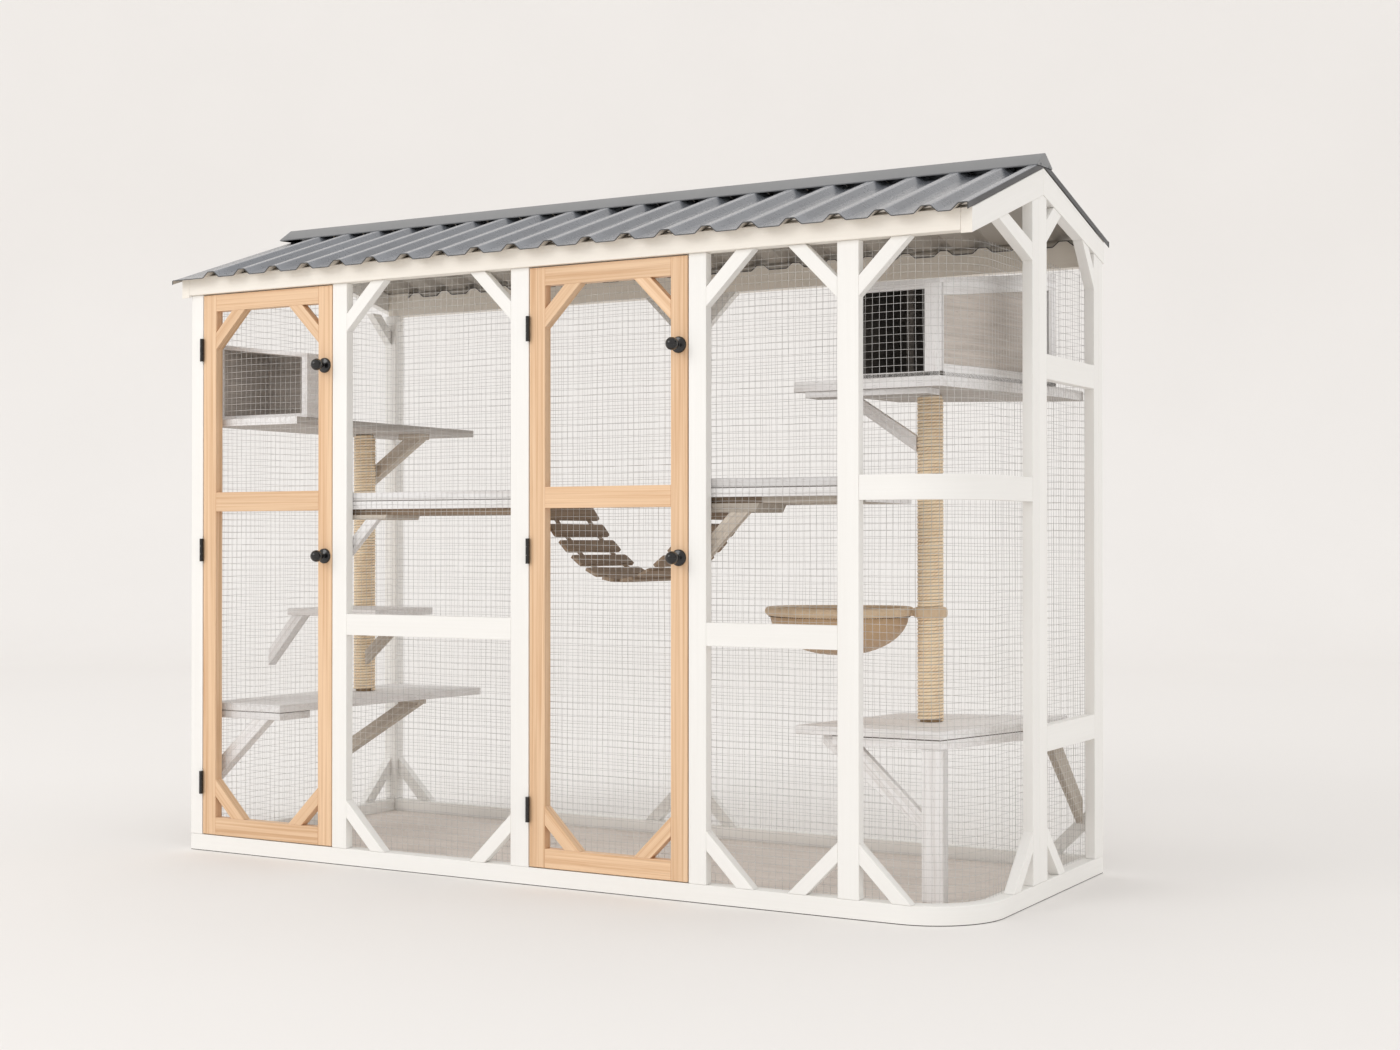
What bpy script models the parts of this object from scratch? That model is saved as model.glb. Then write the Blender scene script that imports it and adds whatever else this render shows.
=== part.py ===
"""Catio: a timber and wire-mesh cat enclosure with two doors, a rounded front corner and a metal roof.

Metres, +Z up. X runs along the length, the front faces -Y, and the origin is the centre of the
footprint on the ground. Sizes below are measured from the left end, the front face and the ground.
"""
import math

import bmesh
import bpy
from mathutils import Matrix, Vector

# Overall sizes
LENGTH = 2.510
WIDTH = 0.956
CORNER_R = 0.200
CORNER_STEPS = 10
FIT = 0.0003
LAP = 0.002
OVERRUN = 0.010

# Base and floor
SILL_H = 0.048
SILL_D = 0.045
FLOOR_T = 0.012
FLOOR_EDGE = 0.0006
FLOOR_REAR_GAP = 0.010

# Wall frame
FRAME_T = 0.028
EAVE_Z = 1.6625
REAR_EAVE_Z = 1.691
POST_D = 0.045
P0_W = 0.0455
DOOR_LEFT_W = 0.496
P1_W = 0.052
LEFT_BAY_SHARE = 572 / 943
P2_W = 0.059
DOOR_RIGHT_W = 0.492
P3_W = 0.0515
CORNER_POST_IN = 0.158
P4_W = 0.058
P5_Y = 0.400
P5_W = 0.105
P6_W = 0.071
REAR_POST_OFF = 0.085
REAR_POST_W = 0.050
MID_RAIL_Z = 0.657
MID_RAIL_H = 0.060
CORNER_RAIL_Z = 1.025
CORNER_RAIL_H = 0.062
END_RAIL_LOW_Z = 0.380
END_RAIL_LOW_H = 0.067
END_RAIL_HIGH_Z = 1.345
END_RAIL_HIGH_H = 0.065
BRACE_IN = 0.088
BRACE_OUT = 0.138
SMALL_BRACE_IN = 0.055
SMALL_BRACE_OUT = 0.100

# Roof
APEX_Z = 1.888
SLOPE_FRONT_SHARE = 0.352
SLOPE_REAR_SHARE = 0.265
RAKE_H = 0.070
RAKE_END_FRONT = 1.6545
RAKE_END_REAR = 1.700
RAKE_PROUD = 0.012
EAVE_BEAM_D = 0.040
GABLE_FRONT_IN = 0.170
GABLE_FRONT_OUT = 0.233
GABLE_POST_IN = 0.106
GABLE_POST_OUT = 0.152
GABLE_MID_IN = 0.055
GABLE_MID_OUT = 0.112
GABLE_REAR_IN = 0.045
GABLE_REAR_OUT = 0.098
BEAM_HALF = 0.018
BEAM_TOP = 0.014
BEAM_BOTTOM = 0.074
SHEET_T = 0.0012
SHEET_OVERHANG = 0.045
SHEET_LEFT = 0.035
SHEET_RIGHT = 0.004
RIB_H = 0.017
RIB_PITCH = 0.1204
RIB_FIRST = 0.119
RIB_END_SHARE = 0.6
RIB_TOP = 0.024
RIB_SIDE = 0.019
SHEET_SPLIT = 0.003
FLANGE_H = 0.012
CAP_HALF = 0.055
CAP_RISE = 0.021
CAP_T = 0.0015
CAP_LEFT = 0.034

# Doors
HINGE_GAP = 0.003
LATCH_GAP = 0.0035
DOOR_FOOT = 0.0025
DOOR_HEAD = 0.003
STILE_W = 0.050
DOOR_RAIL_LOW = 0.0515
DOOR_RAIL_HIGH = 0.0495
DOOR_MID_Z = 1.013
DOOR_MID_H = 0.057
DOOR_BRACE_IN = 0.063
DOOR_BRACE_OUT = 0.113

# Hinges: butt hinges with the barrel outside
HINGE_Z = (1.496, 0.898, 0.204)
HINGE_H = 0.068
BARREL_R = 0.006
PIN_R = 0.0024
BORE_R = 0.0029
BARREL_SIDES = 10
LEAF_T = 0.001
LEAF_CLEAR = 0.0002
LEAF_D = 0.020
LEAF_START = 0.0075
BARREL_SPLIT = 0.0005

# Knobs with a turning tongue behind the stile
KNOB_Z = (1.430, 0.882)
KNOB_SIDES = 16
BALL_R = 0.017
BALL_OUT = 0.036
NECK_R = 0.0065
ROSE_R = 0.0215
ROSE_T = 0.007
SPINDLE_R = 0.0045
SPINDLE_BORE_R = 0.0055
TONGUE_L = 0.044
TONGUE_HALF = 0.008
TONGUE_T = 0.004

# Wire mesh, drawn with a wide pitch
NET_T = 0.002
NET_WIRE = 0.003
NET_LAP = 0.010
NET_PITCH = 0.260
REAR_PITCH_SHARE = 1.2

# Boards of the furniture
BOARD_T = 0.022
BRACE_T = 0.020
WALL_CLEAR = 0.002

# Left platforms
LOW_LEFT_Z = 0.440
LOW_LEFT_X_FRONT = 0.310
LOW_LEFT_X_REAR = 0.404
LOW_LEFT_TIER = 0.023
LOW_LEFT_TIER_D = 0.140
LOW_LEFT_TIER_CUT = 0.012
LEFT_BRACE_D = 0.035
HIGH_LEFT_Z = 1.291
HIGH_LEFT_X = 0.374
LEFT_BRACE_Y = 0.655
LEFT_CLEAT_H = 0.018
LEFT_CLEAT_X = 0.262
LEFT_BRACE_W = 0.040
LOW_FRONT_BRACE_Z = 0.185
LOW_FRONT_BRACE_X = 0.262
LOW_REAR_BRACE_Z = 0.215
LOW_REAR_BRACE_X = 0.340
HIGH_BRACE_X = 0.130
HIGH_BRACE_Z = 1.100
HIGH_BRACE_TOP_X = 0.352

# Left scratching post, with its rope
POST_R = 0.0355
ROPE_R = 0.003
ROPE_SINK = 0.0015
ROPE_LOOPS = 4
ROPE_STEPS = 24
ROPE_SIDES = 6
POST_SIDES = 24
LEFT_POST_X = 0.156
LEFT_POST_Y = 0.616

# Step shelf
STEP_Z = 0.716
STEP_X0 = 0.109
STEP_X1 = 0.460
STEP_Y0 = 0.300
STEP_BRACE_A_Z = 0.535
STEP_BRACE_A_TOP = 0.172
STEP_BRACE_B_X = 0.205
STEP_BRACE_B_Z = 0.530
STEP_BRACE_B_TOP = 0.392
STEP_BRACE_W = 0.034

# Left house
HOUSE_WALL = 0.012
HOUSE_SIDE = 0.022
HOUSE_L_Y0 = 0.090
HOUSE_L_Y1 = 0.295
HOUSE_L_TOP_LEFT = 1.520
HOUSE_L_TOP_RIGHT = 1.480
HOUSE_L_SILL = 0.012

# Walkways and bridge
WALK_LUG = 0.036
WALK_D = 0.310
WALK_TIER = 0.023
WALK_GROOVE = 0.0015
WALK_BATTEN = 0.016
WALK_BATTEN_IN = 0.016
WALK_L_Z = 1.063
WALK_R_Z = 1.085
WALK_L_CLEAT = 0.0135
WALK_L_CLEAT_END = 0.172
WALK_L_BRACE_IN = 0.027
WALK_L_BRACE_RISE = 0.112
WALK_L_BRACE_W = 0.031
WALK_R_CLEAT = 0.023
WALK_R_CLEAT_END = 0.1885
WALK_R_BRACE_IN = 0.0195
WALK_R_BRACE_RISE = 0.138
WALK_R_BRACE_W = 0.039
BRIDGE_Y_IN = 0.020
BRIDGE_L = 0.270
BRIDGE_DROP = 0.2423
BRIDGE_SAG = 0.2059
BRIDGE_SLATS = 12
BRIDGE_END = 0.004
SLAT_W = 0.044
SLAT_T = 0.009
SLAT_CORNER = 0.007
STRAP_W = 0.028
STRAP_T = 0.003
STRAP_IN = 0.040
STRAP_STEPS = 24

# Right platform, its leg and the post on it
LOW_RIGHT_Z = 0.445
LOW_RIGHT_INSETS = ((0.584, 0.216), (0.184, 0.236), (0.053, 0.716), (0.062, 0.840), (0.494, 0.675), (0.524, 0.510))
LOW_RIGHT_TIER = 0.0245
LOW_RIGHT_TIER_IN = 0.48
LOW_RIGHT_TIER_REAR = 0.600
LEG_IN = 0.237
LEG_W = 0.060
LEG_Y = 0.236
LEG_D = 0.032
LEG_BRACE_Z = 0.190
LEG_BRACE_W = 0.046
LEG_BRACE_IN0 = 0.516
LEG_BRACE_IN1 = 0.44
REAR_CLEAT_IN0 = 0.15
REAR_CLEAT_IN1 = 0.0335
REAR_CLEAT_Y0 = 0.600
REAR_CLEAT_Y1 = 0.735
REAR_BRACE_Y0 = 0.608
REAR_BRACE_Y1 = 0.690
REAR_BRACE_Z0 = 0.143
REAR_BRACE_Z1 = 0.210
RIGHT_POST_IN = 0.317
RIGHT_POST_Y = 0.483

# Upper right shelf and its house
HIGH_RIGHT_Z = 1.340
HIGH_RIGHT_T = 0.027
HIGH_RIGHT_INSETS = ((0.588, 0.214), (0.170, 0.200), (0.044, 0.720), (0.038, 0.905), (0.500, 0.690), (0.525, 0.510))
HIGH_RIGHT_TIER = 0.016
HIGH_RIGHT_TIER_IN0 = 0.555
HIGH_RIGHT_TIER_IN1 = 0.21
HIGH_RIGHT_TIER_D = 0.075
HIGH_RIGHT_BRACE_Z = 1.162
HIGH_RIGHT_BRACE_W = 0.043
HIGH_RIGHT_BRACE_IN0 = 0.575
HIGH_RIGHT_BRACE_IN1 = 0.52
HOUSE_R_INSETS = ((0.440, 0.212), (0.172, 0.203), (0.049, 0.712), (0.440, 0.600))
HOUSE_R_TOP = 1.584
HOUSE_R_SLOPE_SHARE = 0.120
HOUSE_R_OPEN_IN0 = 0.41
HOUSE_R_OPEN_IN1 = 0.214
HOUSE_R_OPEN_Z = 1.560
HOUSE_R_SIDE_Y0 = 0.570
HOUSE_R_SIDE_Y1 = 0.680

# Hammock on the right post
HAMMOCK_IN = 0.565
HAMMOCK_Y = 0.440
HAMMOCK_Z = 0.735
HAMMOCK_R = 0.190
HAMMOCK_TUBE_R = 0.012
HAMMOCK_SIDES = 28
HAMMOCK_TUBE_SIDES = 8
BAND_H = 0.029
BAND_T = 0.010
BOWL_DROP = 0.118
BOWL_T = 0.002
BOWL_RINGS = 5

# Derived places
P0_END = P0_W
DOOR_CLEAR = HINGE_GAP + LATCH_GAP
P1_X = P0_END + DOOR_LEFT_W + DOOR_CLEAR
P1_END = P1_X + P1_W
P4_X = LENGTH - CORNER_R - CORNER_POST_IN
P4_END = P4_X + P4_W
BAYS_W = P4_X - P1_END - P2_W - P3_W - DOOR_RIGHT_W - DOOR_CLEAR
P2_X = P1_END + BAYS_W * LEFT_BAY_SHARE
P2_END = P2_X + P2_W
P3_X = P2_END + DOOR_RIGHT_W + DOOR_CLEAR
P3_END = P3_X + P3_W
REAR_POST_X = LENGTH / 2 - REAR_POST_OFF
BRIDGE_LOW_Z = WALK_L_Z - BRIDGE_DROP
RIB_COUNT = int((LENGTH - RIB_FIRST) / RIB_PITCH - RIB_END_SHARE) + 1
P5_END = P5_Y + P5_W
P6_Y = WIDTH - P6_W
RIDGE_Y = WIDTH / 2
FRAME_LOW = SILL_H + FIT
FRAME_TOP = EAVE_Z - FIT
REAR_TOP = REAR_EAVE_Z - FIT
END_X = LENGTH - FRAME_T
DOOR_X = ((P0_END + HINGE_GAP, P1_X - LATCH_GAP), (P2_END + HINGE_GAP, P3_X - LATCH_GAP))
DOOR_Z0 = SILL_H + DOOR_FOOT
DOOR_Z1 = EAVE_Z - DOOR_HEAD
NET_Y = FRAME_T + FIT
HINGE_Y = -BARREL_R - FIT
WALL_X = NET_Y + NET_T + FIT
WALK_Y0 = NET_Y + NET_T + FIT
WALL_Y0 = POST_D + FIT
WALL_Y1 = WIDTH - POST_D - FIT

RIGHT_POST_X = LENGTH - RIGHT_POST_IN
LEG_X = LENGTH - LEG_IN
LEG_BRACE_X0 = LENGTH - LEG_BRACE_IN0
LEG_BRACE_X1 = LENGTH - LEG_BRACE_IN1
REAR_CLEAT_X0 = LENGTH - REAR_CLEAT_IN0
REAR_CLEAT_X1 = LENGTH - REAR_CLEAT_IN1
LOW_RIGHT_TIER_X = LENGTH - LOW_RIGHT_TIER_IN
HIGH_RIGHT_TIER_X0 = LENGTH - HIGH_RIGHT_TIER_IN0
HIGH_RIGHT_TIER_X1 = LENGTH - HIGH_RIGHT_TIER_IN1
HIGH_RIGHT_BRACE_X0 = LENGTH - HIGH_RIGHT_BRACE_IN0
HIGH_RIGHT_BRACE_X1 = LENGTH - HIGH_RIGHT_BRACE_IN1
HOUSE_R_OPEN_X0 = LENGTH - HOUSE_R_OPEN_IN0
HOUSE_R_OPEN_X1 = LENGTH - HOUSE_R_OPEN_IN1
HAMMOCK_X = LENGTH - HAMMOCK_IN
LOW_RIGHT_OUTLINE = tuple((LENGTH - a, b) for a, b in LOW_RIGHT_INSETS)
HIGH_RIGHT_OUTLINE = tuple((LENGTH - a, b) for a, b in HIGH_RIGHT_INSETS)
HOUSE_R_OUTLINE = tuple((LENGTH - a, b) for a, b in HOUSE_R_INSETS)

for old in list(bpy.data.objects):
    bpy.data.objects.remove(old, do_unlink=True)


def material(name, colour, roughness, metallic=0.0):
    """A Principled material with one colour."""
    mat = bpy.data.materials.new(name)
    mat.use_nodes = True
    shader = mat.node_tree.nodes["Principled BSDF"]
    shader.inputs["Base Color"].default_value = (*colour, 1.0)
    shader.inputs["Roughness"].default_value = roughness
    shader.inputs["Metallic"].default_value = metallic
    mat.diffuse_color = (*colour, 1.0)
    return mat


COLOURS = {
    "frame": ((0.84, 0.81, 0.76), 0.50, 0.0),
    "floor": ((0.42, 0.38, 0.34), 0.60, 0.0),
    "door": ((0.66, 0.42, 0.22), 0.50, 0.0),
    "washed": ((0.46, 0.43, 0.42), 0.60, 0.0),
    "roof": ((0.17, 0.18, 0.21), 0.45, 0.8),
    "cap": ((0.28, 0.29, 0.30), 0.45, 0.8),
    "black": ((0.01, 0.01, 0.01), 0.25, 0.3),
    "wire": ((0.60, 0.60, 0.58), 0.40, 0.9),
    "sisal": ((0.52, 0.34, 0.18), 0.90, 0.0),
    "slat": ((0.30, 0.24, 0.19), 0.70, 0.0),
    "cloth": ((0.48, 0.34, 0.20), 0.90, 0.0),
    "plush": ((0.56, 0.44, 0.30), 0.95, 0.0),
}


def place(x, y, z):
    """A point in the sizes above, from the centre of the footprint."""
    return Vector((x - LENGTH / 2, y - WIDTH / 2, z))


def finish(name, bm, kind, origin=None, smooth=False):
    """Turns a mesh drawn from the left front corner into a named object."""
    bmesh.ops.recalc_face_normals(bm, faces=bm.faces[:])
    pivot = place(*origin) if origin else Vector((0.0, 0.0, 0.0))
    shift = place(0.0, 0.0, 0.0) - pivot
    bmesh.ops.translate(bm, verts=bm.verts[:], vec=shift)
    mesh = bpy.data.meshes.new(name)
    bm.to_mesh(mesh)
    bm.free()
    mat = bpy.data.materials.get(name) or material(name, *COLOURS[kind])
    mesh.materials.append(mat)
    obj = bpy.data.objects.new(name, mesh)
    obj.location = pivot
    bpy.context.scene.collection.objects.link(obj)
    if smooth:
        mesh.shade_smooth()
        mesh.set_sharp_from_angle(angle=math.radians(35.0))
    return obj


def add_box(bm, x, y, z):
    """A box between pairs of coordinates."""
    corners = [bm.verts.new((x[i], y[j], z[k])) for k in (0, 1) for j in (0, 1) for i in (0, 1)]
    for ids in ((0, 2, 3, 1), (4, 5, 7, 6), (0, 1, 5, 4), (2, 6, 7, 3), (0, 4, 6, 2), (1, 3, 7, 5)):
        bm.faces.new([corners[i] for i in ids])


def box(x, y, z):
    """A mesh holding one box."""
    bm = bmesh.new()
    add_box(bm, x, y, z)
    return bm


def prism(points, axis, lo, hi):
    """An outline drawn in the plane across an axis, drawn out from lo to hi; lo and hi may follow the outline."""
    bm = bmesh.new()

    def spot(p, t):
        if axis == 0:
            return (t, p[0], p[1])
        if axis == 1:
            return (p[0], t, p[1])
        return (p[0], p[1], t)

    low = [bm.verts.new(spot(p, lo(p) if callable(lo) else lo)) for p in points]
    top = [bm.verts.new(spot(p, hi(p) if callable(hi) else hi)) for p in points]
    bm.faces.new(low)
    bm.faces.new(top[::-1])
    count = len(points)
    for i in range(count):
        j = (i + 1) % count
        bm.faces.new((low[j], low[i], top[i], top[j]))
    bmesh.ops.recalc_face_normals(bm, faces=bm.faces[:])
    return bm


def turned(profile, sides, centre, axis):
    """A profile of (radius, height) pairs turned about a line through the centre, closed at both ends."""
    bm = bmesh.new()
    rings = []
    for radius, height in profile:
        ring = []
        count = 1 if radius == 0 else sides
        for i in range(count):
            a = 2 * math.pi * i / sides
            u, v = radius * math.cos(a), radius * math.sin(a)
            if axis == 1:
                spot = (centre[0] + u, centre[1] + height, centre[2] + v)
            else:
                spot = (centre[0] + u, centre[1] + v, centre[2] + height)
            ring.append(bm.verts.new(spot))
        rings.append(ring)
    for a, b in zip(rings, rings[1:]):
        for i in range(sides):
            j = (i + 1) % sides
            quad = [a[i % len(a)], a[j % len(a)], b[j % len(b)], b[i % len(b)]]
            seen = []
            for v in quad:
                if v not in seen:
                    seen.append(v)
            if len(seen) > 2:
                bm.faces.new(seen)
    for ring in (rings[0], rings[-1]):
        if len(ring) > 1:
            bm.faces.new(ring)
    bmesh.ops.recalc_face_normals(bm, faces=bm.faces[:])
    return bm


def combine(parts, operation="UNION"):
    """Joins meshes into one closed body, or cuts the later ones from the first."""
    objs = []
    for i, bm in enumerate(parts):
        mesh = bpy.data.meshes.new("work")
        bmesh.ops.recalc_face_normals(bm, faces=bm.faces[:])
        bm.to_mesh(mesh)
        bm.free()
        obj = bpy.data.objects.new("work", mesh)
        bpy.context.scene.collection.objects.link(obj)
        objs.append(obj)
    base = objs[0]
    for other in objs[1:]:
        mod = base.modifiers.new("join", "BOOLEAN")
        mod.operation = operation
        mod.solver = "EXACT"
        mod.object = other
    graph = bpy.context.evaluated_depsgraph_get()
    out = bmesh.new()
    out.from_mesh(base.evaluated_get(graph).to_mesh())
    for obj in objs:
        mesh = obj.data
        bpy.data.objects.remove(obj, do_unlink=True)
        bpy.data.meshes.remove(mesh)
    bmesh.ops.remove_doubles(out, verts=out.verts[:], dist=FIT / 30)
    bmesh.ops.dissolve_limit(out, angle_limit=math.radians(0.5), verts=out.verts[:], edges=out.edges[:])
    return out


def corner_brace(cx, cz, sx, sz, inner, outer, axis, lo, hi):
    """A diagonal brace across the corner at (cx, cz), drawn in the plane across an axis."""
    points = [
        (cx - sx * LAP, cz + sz * outer), (cx - sx * LAP, cz + sz * inner), (cx, cz + sz * inner),
        (cx + sx * inner, cz), (cx + sx * outer, cz), (cx, cz + sz * outer),
    ]
    return prism(points, axis, lo, hi)


def rail_brace(cx, cz, sx, sz, inner, outer, axis, lo, hi):
    """A brace as above whose ends are sunk into both the post and the rail it meets."""
    points = [
        (cx - sx * LAP, cz + sz * outer), (cx - sx * LAP, cz + sz * inner), (cx, cz + sz * inner),
        (cx + sx * inner, cz), (cx + sx * inner, cz - sz * LAP), (cx + sx * outer, cz - sz * LAP),
        (cx + sx * outer, cz), (cx, cz + sz * outer),
    ]
    return prism(points, axis, lo, hi)


def rake_top(y):
    """Height of the top of the gable boards at a distance from the front."""
    return APEX_Z - (SLOPE_FRONT_SHARE * (RIDGE_Y - y) if y < RIDGE_Y else SLOPE_REAR_SHARE * (y - RIDGE_Y))


def rake_low(y):
    """Height of the underside of the gable boards, which taper to the eaves."""
    front, rear = -RAKE_PROUD, WIDTH + RAKE_PROUD
    low = APEX_Z - RAKE_H
    if y < RIDGE_Y:
        return low + (RAKE_END_FRONT - low) * (RIDGE_Y - y) / (RIDGE_Y - front)
    return low + (RAKE_END_REAR - low) * (y - RIDGE_Y) / (rear - RIDGE_Y)


def rounded_path(offset, x_start, y_end):
    """Plan line along the front, round the corner and along the right end, at a distance inside the frame."""
    cx, cy = LENGTH - CORNER_R, CORNER_R
    radius = CORNER_R - offset
    pts = [(x_start, offset)]
    for i in range(CORNER_STEPS + 1):
        a = -math.pi / 2 + math.pi / 2 * i / CORNER_STEPS
        pts.append((cx + radius * math.cos(a), cy + radius * math.sin(a)))
    pts.append((LENGTH - offset, y_end))
    return pts


def rounded_band(depth, x_start, y_end):
    """Plan outline of a band of timber that follows the rounded corner."""
    return rounded_path(0.0, x_start, y_end) + rounded_path(depth, x_start, y_end)[::-1]


# Base
def build_base():
    finish("sill_front", box((0.0, LENGTH - CORNER_R), (0.0, SILL_D), (0.0, SILL_H)), "frame")
    outline = rounded_band(SILL_D, LENGTH - CORNER_R + FIT, WIDTH)
    finish("sill_corner_right", prism(outline, 2, 0.0, SILL_H), "frame")
    rear_end = LENGTH - SILL_D - FIT
    outline = [
        (0.0, SILL_D + FIT), (SILL_D, SILL_D + FIT), (SILL_D, WIDTH - SILL_D),
        (rear_end, WIDTH - SILL_D), (rear_end, WIDTH), (0.0, WIDTH),
    ]
    finish("sill_rear_left", prism(outline, 2, 0.0, SILL_H), "frame")
    inset = SILL_D + FLOOR_EDGE
    rear = WIDTH - SILL_D - FLOOR_REAR_GAP
    outline = rounded_path(inset, inset, rear) + [(inset, rear)]
    finish("floor_panel", prism(outline, 2, 0.0, FLOOR_T), "floor")


# Posts and framed panels
def front_panel(name, x0, x1, x2, x3, braces_right):
    """Two posts joined by a rail, with a brace in each corner of the bay between them."""
    span = (0.0, FRAME_T)
    tall = (FRAME_LOW, FRAME_TOP)
    parts = [box((x0, x1), span, tall), box((x2, x3), span, tall)]
    parts.append(box((x1 - LAP, x2 + LAP), span, (MID_RAIL_Z, MID_RAIL_Z + MID_RAIL_H)))
    for cz, sz in ((FRAME_LOW, 1), (FRAME_TOP, -1)):
        parts.append(corner_brace(x1, cz, 1, sz, BRACE_IN, BRACE_OUT, 1, 0.0, FRAME_T))
        parts.append(corner_brace(x2, cz, -1, sz, BRACE_IN, BRACE_OUT, 1, 0.0, FRAME_T))
        if braces_right:
            outer = LENGTH - CORNER_R - x3 + BRACE_OUT - BRACE_IN
            parts.append(corner_brace(x3, cz, 1, sz, BRACE_IN, min(BRACE_OUT, outer), 1, 0.0, FRAME_T))
    finish(name, combine(parts), "frame")


def build_walls():
    finish("post_front_left", box((0.0, P0_END), (0.0, POST_D), (FRAME_LOW, FRAME_TOP)), "frame")
    front_panel("panel_front_left", P1_X, P1_END, P2_X, P2_END, False)
    front_panel("panel_front_right", P3_X, P3_END, P4_X, P4_END, True)
    band = rounded_band(FRAME_T, P4_END + FIT, P5_Y - FIT)
    finish("rail_corner", prism(band, 2, CORNER_RAIL_Z, CORNER_RAIL_Z + CORNER_RAIL_H), "frame")

    def below_rake(y):
        return rake_low(y) - FIT

    xs = (END_X, LENGTH)
    parts = []
    mid = (P5_Y, FRAME_LOW), (P5_END, FRAME_LOW), (P5_END, below_rake(P5_END)), \
        (RIDGE_Y, below_rake(RIDGE_Y)), (P5_Y, below_rake(P5_Y))
    parts.append(prism(mid, 0, *xs))
    last = (P6_Y, FRAME_LOW), (WIDTH, FRAME_LOW), (WIDTH, below_rake(WIDTH)), (P6_Y, below_rake(P6_Y))
    parts.append(prism(last, 0, *xs))
    for z, h in ((END_RAIL_LOW_Z, END_RAIL_LOW_H), (END_RAIL_HIGH_Z, END_RAIL_HIGH_H)):
        parts.append(box(xs, (P5_END - LAP, P6_Y + LAP), (z, z + h)))
    parts.append(corner_brace(P5_Y, FRAME_LOW, -1, 1, BRACE_IN, BRACE_OUT, 0, *xs))
    parts.append(corner_brace(P5_END, FRAME_LOW, 1, 1, BRACE_IN, BRACE_OUT, 0, *xs))
    legs = (
        (P5_Y, -1, GABLE_FRONT_IN, GABLE_FRONT_OUT, GABLE_POST_IN, GABLE_POST_OUT),
        (P5_END, 1, GABLE_MID_IN, GABLE_MID_OUT, GABLE_MID_IN, GABLE_MID_OUT),
        (P6_Y, -1, GABLE_REAR_IN, GABLE_REAR_OUT, GABLE_REAR_IN, GABLE_REAR_OUT),
    )
    for y, s, along_in, along_out, down_in, down_out in legs:
        low = below_rake(y)
        pts = [
            (y - s * LAP, low - down_out), (y, low - down_out), (y + s * along_out, below_rake(y + s * along_out)),
            (y + s * along_in, below_rake(y + s * along_in)), (y, low - down_in), (y - s * LAP, low - down_in),
        ]
        parts.append(prism(pts, 0, *xs))
    parts.append(corner_brace(END_X, FRAME_LOW, -1, 1, BRACE_IN, BRACE_OUT, 1, WIDTH - FRAME_T, WIDTH))
    finish("panel_right_end", combine(parts), "frame")

    rear_span = (WIDTH - POST_D, WIDTH)
    rear_plane = (WIDTH - FRAME_T, WIDTH)
    parts = [box((0.0, POST_D), rear_span, (FRAME_LOW, REAR_TOP))]
    parts.append(corner_brace(POST_D, FRAME_LOW, 1, 1, BRACE_IN, BRACE_OUT, 1, *rear_plane))
    parts.append(corner_brace(WIDTH - POST_D, FRAME_LOW, -1, 1, BRACE_IN, BRACE_OUT, 0, 0.0, FRAME_T))
    parts.append(corner_brace(WIDTH - POST_D, REAR_TOP, -1, -1, SMALL_BRACE_IN, SMALL_BRACE_OUT, 0, 0.0, FRAME_T))
    finish("post_rear_left", combine(parts), "frame")
    parts = [box((REAR_POST_X, REAR_POST_X + REAR_POST_W), rear_plane, (FRAME_LOW, REAR_TOP))]
    for cz, sz in ((FRAME_LOW, 1), (REAR_TOP, -1)):
        parts.append(corner_brace(REAR_POST_X, cz, -1, sz, BRACE_IN, BRACE_OUT, 1, *rear_plane))
        parts.append(corner_brace(REAR_POST_X + REAR_POST_W, cz, 1, sz, BRACE_IN, BRACE_OUT, 1, *rear_plane))
    finish("post_rear_mid", combine(parts), "frame")


# Eaves, gables and ridge
def build_roof_timber():
    y0, y1 = -RAKE_PROUD, EAVE_BEAM_D - RAKE_PROUD
    outline = [(y0, EAVE_Z), (y1, EAVE_Z), (y1, rake_top(y1) - FIT), (y0, rake_top(y0) - FIT)]
    finish("eave_beam_front", prism(outline, 0, 0.0, END_X - FIT), "frame")
    y0, y1 = WIDTH + RAKE_PROUD - EAVE_BEAM_D, WIDTH + RAKE_PROUD
    outline = [(y0, REAR_EAVE_Z), (y1, REAR_EAVE_Z), (y1, rake_top(y1) - FIT), (y0, rake_top(y0) - FIT)]
    finish("eave_beam_rear", prism(outline, 0, 0.0, END_X - FIT), "frame")
    ends = (-RAKE_PROUD, WIDTH + RAKE_PROUD)
    outline = [
        (ends[0], rake_low(ends[0])), (RIDGE_Y, rake_low(RIDGE_Y)), (ends[1], rake_low(ends[1])),
        (ends[1], rake_top(ends[1]) - FIT), (RIDGE_Y, APEX_Z - FIT), (ends[0], rake_top(ends[0]) - FIT),
    ]
    finish("gable_boards_right", prism(outline, 0, END_X, LENGTH + LAP), "frame")
    finish("gable_boards_left", prism(outline, 0, -FIT - FRAME_T, -FIT), "frame")
    beam = box((0.0, END_X - FIT), (RIDGE_Y - BEAM_HALF, RIDGE_Y + BEAM_HALF), (APEX_Z - BEAM_BOTTOM, APEX_Z - BEAM_TOP))
    finish("ridge_beam", beam, "frame")


# Ribbed metal roof
def sheet_profile():
    """Across the ribs: position along the length and height above the flats."""
    half = RIB_TOP / 2
    left, right = -SHEET_LEFT, LENGTH + SHEET_RIGHT
    pts = [(left, -FLANGE_H), (left, 0.0)]
    for i in range(RIB_COUNT):
        c = RIB_FIRST + i * RIB_PITCH
        pts += [(c - half - RIB_SIDE, 0.0), (c - half, RIB_H), (c + half, RIB_H), (c + half + RIB_SIDE, 0.0)]
    pts += [(right - RIB_TOP - RIB_SIDE, 0.0), (right - RIB_TOP, RIB_H), (right, RIB_H), (right, 0.0)]
    return pts


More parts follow.
